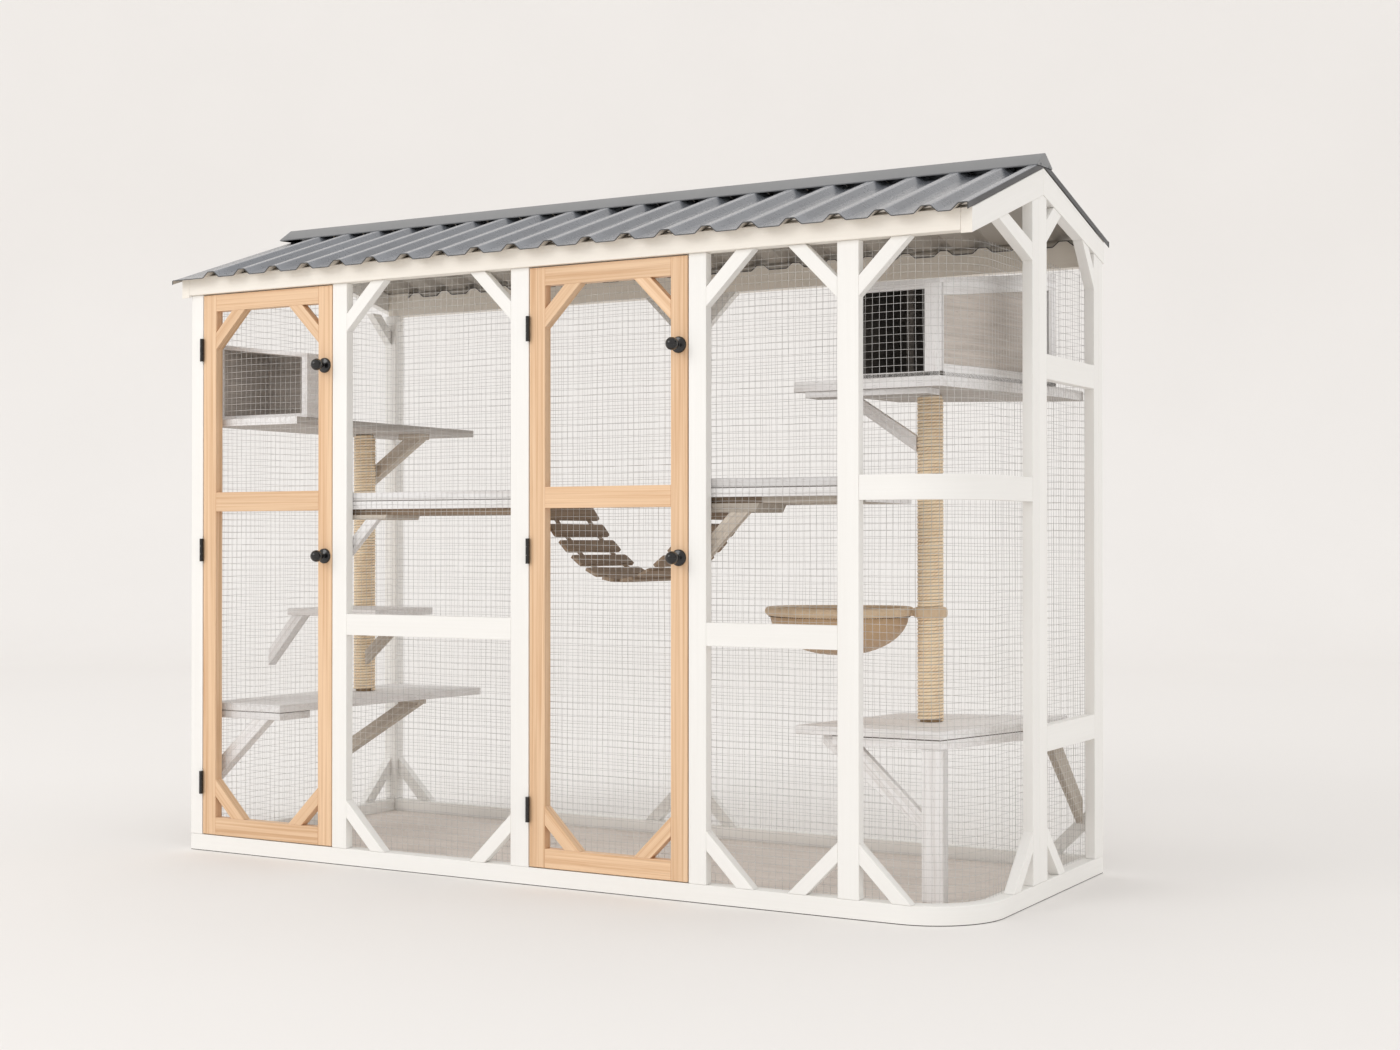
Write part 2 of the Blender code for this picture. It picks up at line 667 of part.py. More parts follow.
def build_sheet(name, y_ridge, y_eave):
    profile = sheet_profile()
    last = len(profile) - 1
    under = []
    for i, (x, h) in enumerate(profile):
        side = SHEET_T if i < 2 else (-SHEET_T if i > last - 2 else 0.0)
        under.append((x + side, h if i in (0, last) else h - SHEET_T))
    lift = SHEET_T + FIT

    def height(y, h):
        return rake_top(y) + lift + h

    bm = bmesh.new()
    rings = []
    for y in (y_ridge, y_eave):
        top = [bm.verts.new((x, y, height(y, h))) for x, h in profile]
        low = [bm.verts.new((x, y, height(y, h))) for x, h in under]
        rings.append((top, low))
    (top_a, low_a), (top_b, low_b) = rings
    count = len(profile)
    for i in range(count - 1):
        bm.faces.new((top_a[i], top_a[i + 1], top_b[i + 1], top_b[i]))
        bm.faces.new((low_a[i], low_b[i], low_b[i + 1], low_a[i + 1]))
        bm.faces.new((top_a[i], low_a[i], low_a[i + 1], top_a[i + 1]))
        bm.faces.new((top_b[i], top_b[i + 1], low_b[i + 1], low_b[i]))
    for i in (0, count - 1):
        bm.faces.new((top_a[i], top_b[i], low_b[i], low_a[i]))
    finish(name, bm, "roof")


def build_roof():
    build_sheet("roof_sheet_front", RIDGE_Y - SHEET_SPLIT, -SHEET_OVERHANG)
    build_sheet("roof_sheet_rear", RIDGE_Y + SHEET_SPLIT, WIDTH + SHEET_OVERHANG)
    rib_top = SHEET_T + FIT + RIB_H + FIT
    front, rear = RIDGE_Y - CAP_HALF, RIDGE_Y + CAP_HALF
    z_front, z_rear = rake_top(front) + rib_top, rake_top(rear) + rib_top
    apex = APEX_Z + rib_top + CAP_RISE
    closing = LENGTH + SHEET_RIGHT + FIT
    x0, x1 = -CAP_LEFT, closing + CAP_T
    outer = [(front, z_front), (RIDGE_Y, apex - CAP_T), (rear, z_rear), (rear, z_rear + CAP_T), (RIDGE_Y, apex),
             (front, z_front + CAP_T)]
    end = [(front, z_front), (rear, z_rear), (rear, z_rear + CAP_T), (RIDGE_Y, apex), (front, z_front + CAP_T)]
    parts = [prism(outer, 0, x0, x1), prism(end, 0, closing, x1)]
    finish("ridge_cap", combine(parts), "cap")


# Doors, hinges and knobs
def build_door(name, x0, x1):
    span = (0.0, FRAME_T)
    inner = (x0 + STILE_W, x1 - STILE_W)
    z_low, z_high = DOOR_Z0 + DOOR_RAIL_LOW, DOOR_Z1 - DOOR_RAIL_HIGH
    parts = [box((x0, inner[0]), span, (DOOR_Z0, DOOR_Z1)), box((inner[1], x1), span, (DOOR_Z0, DOOR_Z1))]
    for z in ((DOOR_Z0, z_low), (DOOR_MID_Z, DOOR_MID_Z + DOOR_MID_H), (z_high, DOOR_Z1)):
        parts.append(box((inner[0] - LAP, inner[1] + LAP), span, z))
    for cz, sz in ((z_low, 1), (z_high, -1)):
        for cx, sx in ((inner[0], 1), (inner[1], -1)):
            parts.append(rail_brace(cx, cz, sx, sz, DOOR_BRACE_IN, DOOR_BRACE_OUT, 1, 0.0, FRAME_T))
    solid = combine(parts)
    cutters = [solid]
    for z in KNOB_Z:
        hole = [(SPINDLE_BORE_R, -OVERRUN), (SPINDLE_BORE_R, FRAME_T + OVERRUN)]
        cutters.append(turned(hole, KNOB_SIDES, (knob_x(x1), 0.0, z), 1))
    axis = (hinge_x(x0), HINGE_Y, DOOR_Z0)
    return finish(name, combine(cutters, "DIFFERENCE"), "door", axis)


def knob_x(x1):
    return x1 - STILE_W / 2


def hinge_x(x0):
    return x0 - HINGE_GAP / 2


def barrel(x, y, z0, z1, radius):
    return turned([(radius, z0), (radius, z1)], BARREL_SIDES, (x, y, 0.0), 2)


def build_hinge(tag, x0, z, side):
    """The leaf on the post carries two barrel pieces and the pin; the leaf on the door carries the middle one."""
    x, y = hinge_x(x0), HINGE_Y
    low, high = z - HINGE_H / 2, z + HINGE_H / 2
    third = HINGE_H / 3
    rows = ((low, low + third - BARREL_SPLIT), (high - third + BARREL_SPLIT, high))
    middle = (low + third, high - third)
    axis = (x, y, z)
    post_leaf = (x0 - HINGE_GAP + LEAF_CLEAR, x0 - HINGE_GAP + LEAF_CLEAR + LEAF_T)
    door_leaf = (x0 - LEAF_CLEAR - LEAF_T, x0 - LEAF_CLEAR)
    deep = (y + LEAF_START, y + LEAF_START + LEAF_D)
    if side == "post":
        parts = [box(post_leaf, deep, (low, high))]
        for row in rows:
            parts.append(box(post_leaf, (y, y + LEAF_START + LAP), row))
            parts.append(barrel(x, y, *row, BARREL_R))
        parts.append(barrel(x, y, low + third / 2, high - third / 2, PIN_R))
        return finish("hinge_leaf_post_" + tag, combine(parts), "black", axis)
    parts = [box(door_leaf, deep, (low, high)), box(door_leaf, (y, y + LEAF_START + LAP), middle)]
    parts.append(barrel(x, y, *middle, BARREL_R))
    solid = combine(parts)
    bore = barrel(x, y, middle[0] - OVERRUN, middle[1] + OVERRUN, BORE_R)
    return finish("hinge_leaf_door_" + tag, combine([solid, bore], "DIFFERENCE"), "black", axis)


def build_knob(name, x1, z):
    cx = knob_x(x1)
    ball = []
    for i in range(7):
        a = math.pi * i / 8
        ball.append((BALL_R * math.sin(a), -BALL_OUT - BALL_R * math.cos(a)))
    profile = ball + [
        (NECK_R, -BALL_OUT + BALL_R), (NECK_R, -ROSE_T - NECK_R / 2), (ROSE_R - NECK_R / 2, -ROSE_T),
        (ROSE_R, -ROSE_T / 2), (ROSE_R, -FIT), (SPINDLE_R, -FIT), (SPINDLE_R, FRAME_T + TONGUE_T),
    ]
    parts = [turned(profile, KNOB_SIDES, (cx, 0.0, z), 1)]
    tongue = box((cx - TONGUE_HALF, cx + TONGUE_HALF), (FRAME_T + FIT, FRAME_T + FIT + TONGUE_T),
                 (z - TONGUE_HALF, z + TONGUE_L))
    parts.append(tongue)
    return finish(name, combine(parts), "black", (cx, 0.0, z), True)


# Wire mesh
def breaks(total, pitch, wire):
    """Positions of the wires' edges along a length, with a wire at each end."""
    gaps = max(1, round(total / pitch))
    step = (total - wire) / gaps
    out = []
    for i in range(gaps + 1):
        out += [i * step, i * step + wire]
    return out


def along(path, s):
    """Point and left-hand normal at a distance along a plan line."""
    for a, b in zip(path, path[1:]):
        seg = math.dist(a, b)
        if s <= seg + FIT / 10 or b == path[-1]:
            d = ((b[0] - a[0]) / seg, (b[1] - a[1]) / seg)
            return (a[0] + d[0] * s, a[1] + d[1] * s), (-d[1], d[0])
        s -= seg


def build_net(name, path, z0, z1, pitch=NET_PITCH):
    """A welded lattice along a plan line; the line is the outer face and the wires lie to its left."""
    total = sum(math.dist(a, b) for a, b in zip(path, path[1:]))
    us = breaks(total, pitch, NET_WIRE)
    wires = [True if i % 2 == 0 else False for i in range(len(us) - 1)]
    s = 0.0
    for a, b in zip(path, path[1:-1]):
        s += math.dist(a, b)
        for i in range(len(us) - 1):
            if not wires[i] and us[i] + NET_WIRE < s < us[i + 1] - NET_WIRE:
                us.insert(i + 1, s)
                wires.insert(i + 1, False)
                break
    vs = breaks(z1 - z0, pitch, NET_WIRE)
    bm = bmesh.new()
    grid = []
    for u in us:
        spot, normal = along(path, u)
        column = []
        for v in vs:
            column.append(tuple(
                bm.verts.new((spot[0] + normal[0] * t, spot[1] + normal[1] * t, z0 + v)) for t in (0.0, NET_T)))
        grid.append(column)
    cols, rows = len(us) - 1, len(vs) - 1

    def solid(i, j):
        return 0 <= i < cols and 0 <= j < rows and (wires[i] or j % 2 == 0)

    for i in range(cols):
        for j in range(rows):
            if not solid(i, j):
                continue
            a, b, c, d = grid[i][j], grid[i + 1][j], grid[i + 1][j + 1], grid[i][j + 1]
            bm.faces.new((a[0], b[0], c[0], d[0]))
            bm.faces.new((a[1], d[1], c[1], b[1]))
            for p, q, other in ((a, b, (i, j - 1)), (b, c, (i + 1, j)), (c, d, (i, j + 1)), (d, a, (i - 1, j))):
                if not solid(*other):
                    bm.faces.new((p[0], q[0], q[1], p[1]))
    loose = [v for v in bm.verts if not v.link_faces]
    bmesh.ops.delete(bm, geom=loose, context="VERTS")
    return finish(name, bm, "wire")


def build_nets():
    low = SILL_H + LAP
    build_net("net_front_left", [(P1_END - NET_LAP, NET_Y), (P2_X + NET_LAP, NET_Y)], low, EAVE_Z - LAP)
    path = rounded_path(NET_Y, P3_END - NET_LAP, P5_Y + NET_LAP)
    build_net("net_front_right", path, low, EAVE_Z - LAP)
    x = LENGTH - NET_Y
    build_net("net_right_end", [(x, P5_END - NET_LAP), (x, P6_Y + NET_LAP)], low, EAVE_Z - LAP)
    y = WIDTH - NET_Y
    build_net("net_rear", [(END_X - LAP, y), (POST_D + FIT, y)], low, REAR_EAVE_Z - LAP, NET_PITCH * REAR_PITCH_SHARE)
    build_net("net_left_end", [(NET_Y, WIDTH - POST_D - FIT), (NET_Y, POST_D + FIT)], low, EAVE_Z - LAP)


# Furniture
def left_outline(x_front, x_rear):
    return [(WALL_X, WALL_Y0), (x_front, WALL_Y0), (x_rear, WALL_Y1), (WALL_X, WALL_Y1)]


def slant(x0, z0, x1, z1, width, y0, y1):
    """A diagonal brace from a post face at x0 up to the underside at z1, cut level at the top."""
    run, rise = x1 - x0, z1 - z0
    reach = math.hypot(run, rise)
    across = width * reach / abs(rise)
    tall = width * reach / abs(run)
    points = [(x0, z0), (x0, z0 + tall), (x1 - math.copysign(across, run), z1), (x1, z1)]
    points.insert(3, (x1 - math.copysign(across, run), z1 + LAP))
    points.insert(4, (x1, z1 + LAP))
    return prism(points, 1, y0, y1)


def build_left_furniture():
    under = LOW_LEFT_Z - BOARD_T
    tier_low = under - LOW_LEFT_TIER
    parts = [prism(left_outline(LOW_LEFT_X_FRONT, LOW_LEFT_X_REAR), 2, under, LOW_LEFT_Z)]
    lean = (LOW_LEFT_X_REAR - LOW_LEFT_X_FRONT) / (WALL_Y1 - WALL_Y0)
    y1 = WALL_Y0 + LOW_LEFT_TIER_D
    tier = [
        (P0_END, WALL_Y0 + WALK_GROOVE), (LOW_LEFT_X_FRONT - WALK_GROOVE, WALL_Y0 + WALK_GROOVE),
        (LOW_LEFT_X_FRONT + lean * LOW_LEFT_TIER_D - LOW_LEFT_TIER_CUT, y1 - LOW_LEFT_TIER_CUT),
        (LOW_LEFT_X_FRONT + lean * LOW_LEFT_TIER_D - 2 * LOW_LEFT_TIER_CUT, y1), (P0_END, y1),
    ]
    parts.append(prism(tier, 2, tier_low, under + LAP))
    parts.append(slant(WALL_X, LOW_FRONT_BRACE_Z, LOW_FRONT_BRACE_X, tier_low, LEFT_BRACE_W,
                       WALL_Y0 + WALK_GROOVE, WALL_Y0 + WALK_GROOVE + LEFT_BRACE_D))
    rear = (LEFT_BRACE_Y, LEFT_BRACE_Y + LEFT_BRACE_D)
    parts.append(box((LEFT_CLEAT_X, LOW_REAR_BRACE_X + WALK_GROOVE), (rear[0], rear[1] + BRACE_T / 2),
                     (under - LEFT_CLEAT_H, under + LAP)))
    parts.append(slant(WALL_X, LOW_REAR_BRACE_Z, LOW_REAR_BRACE_X, under - LEFT_CLEAT_H, LEFT_BRACE_W, *rear))
    finish("platform_lower_left", combine(parts), "washed")

    under = HIGH_LEFT_Z - BOARD_T
    parts = [prism(left_outline(HIGH_LEFT_X, HIGH_LEFT_X), 2, under, HIGH_LEFT_Z)]
    parts.append(box((LEFT_CLEAT_X, HIGH_BRACE_TOP_X + WALK_GROOVE), (rear[0], rear[1] + BRACE_T / 2),
                     (under - LEFT_CLEAT_H, under + LAP)))
    parts.append(slant(HIGH_BRACE_X, HIGH_BRACE_Z, HIGH_BRACE_TOP_X, under - LEFT_CLEAT_H, LEFT_BRACE_W, *rear))
    finish("platform_upper_left", combine(parts), "washed")

    under = STEP_Z - BOARD_T
    y1 = LEFT_POST_Y - POST_R - FIT
    parts = [box((STEP_X0, STEP_X1), (STEP_Y0, y1), (under, STEP_Z))]
    parts.append(slant(WALL_X, STEP_BRACE_A_Z, STEP_BRACE_A_TOP, under, STEP_BRACE_W,
                       STEP_Y0 + WALK_GROOVE, STEP_Y0 + WALK_GROOVE + LEFT_BRACE_D))
    parts.append(slant(STEP_BRACE_B_X, STEP_BRACE_B_Z, STEP_BRACE_B_TOP, under, STEP_BRACE_W,
                       y1 - WALK_GROOVE - BRACE_T, y1 - WALK_GROOVE))
    finish("step_shelf", combine(parts), "washed")

    x0, x1 = WALL_X + WALL_CLEAR, HIGH_LEFT_X
    z0 = HIGH_LEFT_Z + FIT
    lean = (HOUSE_L_TOP_RIGHT - HOUSE_L_TOP_LEFT) / (x1 - x0)

    def top(x, drop=0.0):
        return HOUSE_L_TOP_LEFT + lean * (x - x0) - drop

    outer = prism([(x0, z0), (x1, z0), (x1, top(x1)), (x0, top(x0))], 1, HOUSE_L_Y0, HOUSE_L_Y1)
    a, b = x0 + HOUSE_WALL, x1 - HOUSE_SIDE
    room = prism([(a, z0 + HOUSE_L_SILL), (b, z0 + HOUSE_L_SILL), (b, top(b, HOUSE_WALL)), (a, top(a, HOUSE_WALL))],
                 1, HOUSE_L_Y0 - OVERRUN, HOUSE_L_Y1 - HOUSE_WALL)
    finish("cat_house_left", combine([outer, room], "DIFFERENCE"), "washed")


def rope_path(cx, cy, z0, z1):
    """Centre line of the rope: straight at both ends, then one helix."""
    reach = POST_R - ROPE_R
    ends = 2 * ROPE_R
    rise = (z1 - z0 - 2 * ends) / ROPE_LOOPS
    pts = [(cx + reach, cy, z0)]
    for i in range(ROPE_LOOPS * ROPE_STEPS + 1):
        a = 2 * math.pi * i / ROPE_STEPS
        pts.append((cx + reach * math.cos(a), cy + reach * math.sin(a), z0 + ends + rise * i / ROPE_STEPS))
    pts.append((cx + reach, cy, z1))
    least = min(math.dist(pts[i], pts[j]) for i in range(len(pts)) for j in range(i + ROPE_STEPS // 2, len(pts)))
    print("rope: least gap to itself", round(1000 * (least - 2 * ROPE_R), 2), "mm")
    return pts


def tube(points, radius, sides):
    """One unbroken tube along points, with flat ends."""
    bm = bmesh.new()
    rings = []
    normal = None
    for i, p in enumerate(points):
        a = Vector(points[max(i - 1, 0)])
        b = Vector(points[min(i + 1, len(points) - 1)])
        d = (b - a).normalized()
        if normal is None:
            normal = d.orthogonal().normalized()
        normal = (normal - d * normal.dot(d)).normalized()
        side = d.cross(normal)
        ring = []
        for k in range(sides):
            t = 2 * math.pi * k / sides
            ring.append(bm.verts.new(Vector(p) + (normal * math.cos(t) + side * math.sin(t)) * radius))
        rings.append(ring)
    for a, b in zip(rings, rings[1:]):
        for k in range(sides):
            j = (k + 1) % sides
            bm.faces.new((a[k], a[j], b[j], b[k]))
    bm.faces.new(rings[0][::-1])
    bm.faces.new(rings[-1])
    bmesh.ops.recalc_face_normals(bm, faces=bm.faces[:])
    return bm


def build_scratch_post(name, cx, cy, z0, z1, seat):
    """A core with a plain seat for what is fixed to it, and one rope wound round both."""
    core_r = POST_R - 2 * ROPE_R + ROPE_SINK
    profile = [(core_r, z0), (core_r, seat[0]), (POST_R, seat[0]), (POST_R, seat[1]), (core_r, seat[1]), (core_r, z1)]
    core = turned(profile, POST_SIDES, (cx, cy, 0.0), 2)
    rope = tube(rope_path(cx, cy, z0, z1), ROPE_R, ROPE_SIDES)
    finish(name, combine([core, rope]), "sisal")


def build_walkway(name, x0, x1, lugs, z_top, cleat_h, cleat_end, brace_x, rise, brace_w):
    y0, y1 = WALK_Y0, WALK_Y0 + WALK_D
    mid = z_top - WALK_TIER
    low = mid - WALK_GROOVE - WALK_TIER
    parts = [box((x0, x1), (y0, y1), (mid, z_top))]
    parts.append(box((x0 + WALK_GROOVE, x1 - WALK_GROOVE), (y0 + WALK_GROOVE, y1 - WALK_GROOVE),
                     (mid - WALK_GROOVE - LAP, mid + LAP)))
    parts.append(box((x0, x1), (y0, y1), (low, mid - WALK_GROOVE)))
    batten = low - WALK_BATTEN
    parts.append(box((x0, x1), (y0 + WALK_BATTEN_IN, y1 - WALK_BATTEN_IN), (batten, low + LAP)))
    for lug in lugs:
        parts.append(box(lug, (FRAME_T + FIT, y0 + LAP), (low, z_top)))
    shelf = batten - cleat_h
    cleat = [(brace_x, shelf), (cleat_end - cleat_h / 2, shelf), (cleat_end, batten), (cleat_end, low + LAP),
             (brace_x, low + LAP)]
    parts.append(prism(cleat, 1, y0 + WALK_GROOVE, y0 + WALK_D / 2))
    across = brace_w * math.sqrt(2)
    points = [
        (brace_x, shelf - rise), (brace_x, shelf - rise + across), (brace_x + rise - across, shelf),
        (brace_x + rise - across, shelf + LAP), (brace_x + rise, shelf + LAP), (brace_x + rise, shelf),
    ]
    parts.append(prism(points, 1, y0 + WALK_GROOVE, y0 + WALK_GROOVE + BRACE_T))
    finish(name, combine(parts), "washed")


def build_bridge():
    x0, x1 = P2_END - NET_LAP + FIT, P3_X + NET_LAP - FIT
    mid = (x0 + x1) / 2
    half_span = (x1 - x0) / 2
    y0 = WALK_Y0 + BRIDGE_Y_IN

    def z_at(x):
        return BRIDGE_LOW_Z + BRIDGE_SAG * ((x - mid) / half_span) ** 2

    fine = [x0 + (x1 - x0) * i / 400 for i in range(401)]
    lengths = [0.0]
    for a, b in zip(fine, fine[1:]):
        lengths.append(lengths[-1] + math.hypot(b - a, z_at(b) - z_at(a)))
    total = lengths[-1]

    def x_at(s):
        for i in range(1, len(fine)):
            if lengths[i] >= s:
                t = (s - lengths[i - 1]) / (lengths[i] - lengths[i - 1])
                return fine[i - 1] + (fine[i] - fine[i - 1]) * t
        return x1

    parts = []
    for edge in (y0 + STRAP_IN, y0 + BRIDGE_L - STRAP_IN - STRAP_W):
        upper, lower = [], []
        for i in range(STRAP_STEPS + 1):
            x = x0 + (x1 - x0) * i / STRAP_STEPS
            upper.append((x, z_at(x) + STRAP_T / 2))
            lower.append((x, z_at(x) - STRAP_T / 2))
        parts.append(prism(upper + lower[::-1], 1, edge, edge + STRAP_W))
    pitch = (total - 2 * BRIDGE_END) / BRIDGE_SLATS
    for k in range(BRIDGE_SLATS):
        x = x_at(BRIDGE_END + (k + 1 / 2) * pitch)
        slope = math.atan(2 * BRIDGE_SAG * (x - mid) / half_span ** 2)
        half, thick, cut = SLAT_W / 2, SLAT_T / 2, SLAT_CORNER
        ends = (y0, y0 + BRIDGE_L)
        plan = [
            (-half + cut, ends[0]), (half - cut, ends[0]), (half, ends[0] + cut), (half, ends[1] - cut),
            (half - cut, ends[1]), (-half + cut, ends[1]), (-half, ends[1] - cut), (-half, ends[0] + cut),
        ]
        slat = prism(plan, 2, -thick, thick)
        turn = Matrix.Translation((x, 0.0, z_at(x))) @ Matrix.Rotation(-slope, 4, "Y")
        bmesh.ops.transform(slat, matrix=turn, verts=slat.verts[:])
        parts.append(slat)
    finish("suspension_bridge", combine(parts), "slat")


def build_right_furniture():
    under = LOW_RIGHT_Z - BOARD_T
    tier_low = under - LOW_RIGHT_TIER
    outline = list(LOW_RIGHT_OUTLINE)
    parts = [prism(outline, 2, under, LOW_RIGHT_Z)]
    first, corner, side = outline[0], outline[1], outline[2]
    lean = (corner[1] - first[1]) / (corner[0] - first[0])
    tier = [
        (LOW_RIGHT_TIER_X, first[1] + lean * (LOW_RIGHT_TIER_X - first[0]) + WALK_GROOVE),
        (corner[0] - WALK_GROOVE, corner[1] + WALK_GROOVE), (side[0] - WALK_GROOVE, side[1]),
        (LOW_RIGHT_TIER_X, LOW_RIGHT_TIER_REAR),
    ]
    parts.append(prism(tier, 2, tier_low, under + LAP))
    parts.append(box((REAR_CLEAT_X0, REAR_CLEAT_X1), (REAR_CLEAT_Y0, REAR_CLEAT_Y1), (tier_low, under + LAP)))
    points = [
        (REAR_BRACE_Y0, tier_low + LAP), (REAR_BRACE_Y1, tier_low + LAP), (P6_Y - FIT, REAR_BRACE_Z1),
        (P6_Y - FIT, REAR_BRACE_Z0), (REAR_BRACE_Y0, tier_low),
    ]
    parts.append(prism(points, 0, REAR_CLEAT_X1 - BRACE_T, REAR_CLEAT_X1))
    y_mid = LEG_Y + LEG_D / 2
    points = [
        (LEG_X - FIT, LEG_BRACE_Z), (LEG_X - FIT, LEG_BRACE_Z + LEG_BRACE_W), (LEG_BRACE_X1, tier_low),
        (LEG_BRACE_X1, under + LAP), (LEG_BRACE_X0, under + LAP), (LEG_BRACE_X0, tier_low),
    ]
    parts.append(prism(points, 1, y_mid - BRACE_T / 2, y_mid + BRACE_T / 2))
    finish("platform_lower_right", combine(parts), "washed")
    finish("leg_lower_right", box((LEG_X, LEG_X + LEG_W), (LEG_Y, LEG_Y + LEG_D), (FLOOR_T + FIT, tier_low - FIT)),
           "washed")

    under = HIGH_RIGHT_Z - HIGH_RIGHT_T
    outline = list(HIGH_RIGHT_OUTLINE)
    parts = [prism(outline, 2, under, HIGH_RIGHT_Z)]
    y0 = outline[0][1] + WALK_GROOVE
    parts.append(box((HIGH_RIGHT_TIER_X0, HIGH_RIGHT_TIER_X1), (y0, y0 + HIGH_RIGHT_TIER_D),
                     (under - HIGH_RIGHT_TIER, under + LAP)))
    face = RIGHT_POST_X - POST_R - FIT
    points = [
        (face, HIGH_RIGHT_BRACE_Z), (face, HIGH_RIGHT_BRACE_Z + HIGH_RIGHT_BRACE_W), (HIGH_RIGHT_BRACE_X1, under),
        (HIGH_RIGHT_BRACE_X1, under + LAP), (HIGH_RIGHT_BRACE_X0, under + LAP), (HIGH_RIGHT_BRACE_X0, under),
    ]
    parts.append(prism(points, 1, RIGHT_POST_Y - BRACE_T / 2, RIGHT_POST_Y + BRACE_T / 2))
    finish("shelf_upper_right", combine(parts), "washed")

    z0 = HIGH_RIGHT_Z + FIT
    outline = list(HOUSE_R_OUTLINE)

    def top(drop):
        return lambda p: HOUSE_R_TOP + HOUSE_R_SLOPE_SHARE * (p[1] - outline[1][1]) - drop

    shell = prism(outline, 2, z0, top(0.0))
    cx = sum(p[0] for p in outline) / len(outline)
    cy = sum(p[1] for p in outline) / len(outline)
    span = max(p[0] for p in outline) - min(p[0] for p in outline)
    share = 1 - 2 * HOUSE_WALL / span * 1.25
    inner = [(cx + (p[0] - cx) * share, cy + (p[1] - cy) * share) for p in outline]
    room = prism(inner, 2, z0 + HOUSE_WALL, top(2 * HOUSE_WALL))
    door = box((HOUSE_R_OPEN_X0, HOUSE_R_OPEN_X1), (outline[1][1] - OVERRUN, cy), (z0 + HOUSE_WALL, HOUSE_R_OPEN_Z))
    window = box((cx, LENGTH), (HOUSE_R_SIDE_Y0, HOUSE_R_SIDE_Y1), (z0 + HOUSE_WALL, HOUSE_R_OPEN_Z))
    finish("cat_house_right", combine([shell, room, door, window], "DIFFERENCE"), "washed")


def build_hammock():
    cx, cy, cz = HAMMOCK_X, HAMMOCK_Y, HAMMOCK_Z
    ring = bmesh.new()
    loops = []
    for i in range(HAMMOCK_SIDES):
        a = 2 * math.pi * i / HAMMOCK_SIDES
        loop = []
        for k in range(HAMMOCK_TUBE_SIDES):
            t = 2 * math.pi * k / HAMMOCK_TUBE_SIDES
            r = HAMMOCK_R + HAMMOCK_TUBE_R * math.cos(t)
            loop.append(ring.verts.new((cx + r * math.cos(a), cy + r * math.sin(a), cz + HAMMOCK_TUBE_R * math.sin(t))))
        loops.append(loop)
    for i in range(HAMMOCK_SIDES):
        a, b = loops[i], loops[(i + 1) % HAMMOCK_SIDES]
        for k in range(HAMMOCK_TUBE_SIDES):
            j = (k + 1) % HAMMOCK_TUBE_SIDES
            ring.faces.new((a[k], b[k], b[j], a[j]))
    bmesh.ops.recalc_face_normals(ring, faces=ring.faces[:])
    band_r = POST_R + FIT
    post = (RIGHT_POST_X, RIGHT_POST_Y, cz)
    outer = turned([(band_r + BAND_T, -BAND_H / 2), (band_r + BAND_T, BAND_H / 2)], POST_SIDES, post, 2)
    d = Vector((post[0] - cx, post[1] - cy, 0.0))
    away = d.length
    d.normalize()
    start = Vector((cx, cy, cz)) + d * HAMMOCK_R
    end = Vector((cx, cy, cz)) + d * (away - band_r)
    neck = tube([start, end], HAMMOCK_TUBE_R * 0.9, HAMMOCK_TUBE_SIDES)
    solid = combine([ring, neck, outer])
    reach = band_r / math.cos(math.pi / POST_SIDES)
    hole = turned([(reach, -BAND_H), (reach, BAND_H)], POST_SIDES, post, 2)
    finish("hammock_ring", combine([solid, hole], "DIFFERENCE"), "plush", smooth=True)

    rim = HAMMOCK_R - HAMMOCK_TUBE_R - FIT
    outer_side, inner_side = [], []
    for i in range(BOWL_RINGS + 1):
        t = i / BOWL_RINGS
        outer_side.append((rim * math.cos(math.pi / 2 * t), -BOWL_DROP * math.sin(math.pi / 2 * t) ** 0.9 if t else 0.0))
    for r, h in outer_side[::-1]:
        inner_side.append((max(r - BOWL_T, 0.0) if r > FIT else 0.0, h + BOWL_T))
    outer_side[-1] = (0.0, outer_side[-1][1])
    profile = outer_side[::-1] + inner_side[::-1]
    bowl = turned(profile, HAMMOCK_SIDES, (cx, cy, cz), 2)
    finish("hammock_cloth", bowl, "cloth", smooth=True)


def parent(child, holder):
    """Keeps a piece where it is while it follows another."""
    child.parent = holder
    child.location = child.location - holder.location


build_base()
build_walls()
build_roof_timber()
build_roof()
for tag, (x0, x1) in zip(("left", "right"), DOOR_X):
    door = build_door("door_" + tag, x0, x1)
    inner = (x0 + STILE_W - NET_LAP, x1 - STILE_W + NET_LAP)
    net = build_net("net_door_" + tag, [(inner[0], NET_Y), (inner[1], NET_Y)],
                    DOOR_Z0 + DOOR_RAIL_LOW - NET_LAP, DOOR_Z1 - DOOR_RAIL_HIGH + NET_LAP)
    parent(net, door)
    for row, z in zip(("top", "middle", "bottom"), HINGE_Z):
        build_hinge(tag + "_" + row, x0, z, "post")
        parent(build_hinge(tag + "_" + row, x0, z, "door"), door)
    for row, z in zip(("upper", "lower"), KNOB_Z):
        parent(build_knob("knob_" + tag + "_" + row, x1, z), door)
build_nets()
build_left_furniture()
build_scratch_post("scratch_post_left", LEFT_POST_X, LEFT_POST_Y, LOW_LEFT_Z + FIT, HIGH_LEFT_Z - BOARD_T - FIT,
                   (STEP_Z - BOARD_T, STEP_Z))
build_scratch_post("scratch_post_right", RIGHT_POST_X, RIGHT_POST_Y, LOW_RIGHT_Z + FIT,
                   HIGH_RIGHT_Z - HIGH_RIGHT_T - FIT, (HAMMOCK_Z - BAND_H / 2, HAMMOCK_Z + BAND_H / 2))
left_end, right_end = P1_X + LAP, P2_END - NET_LAP
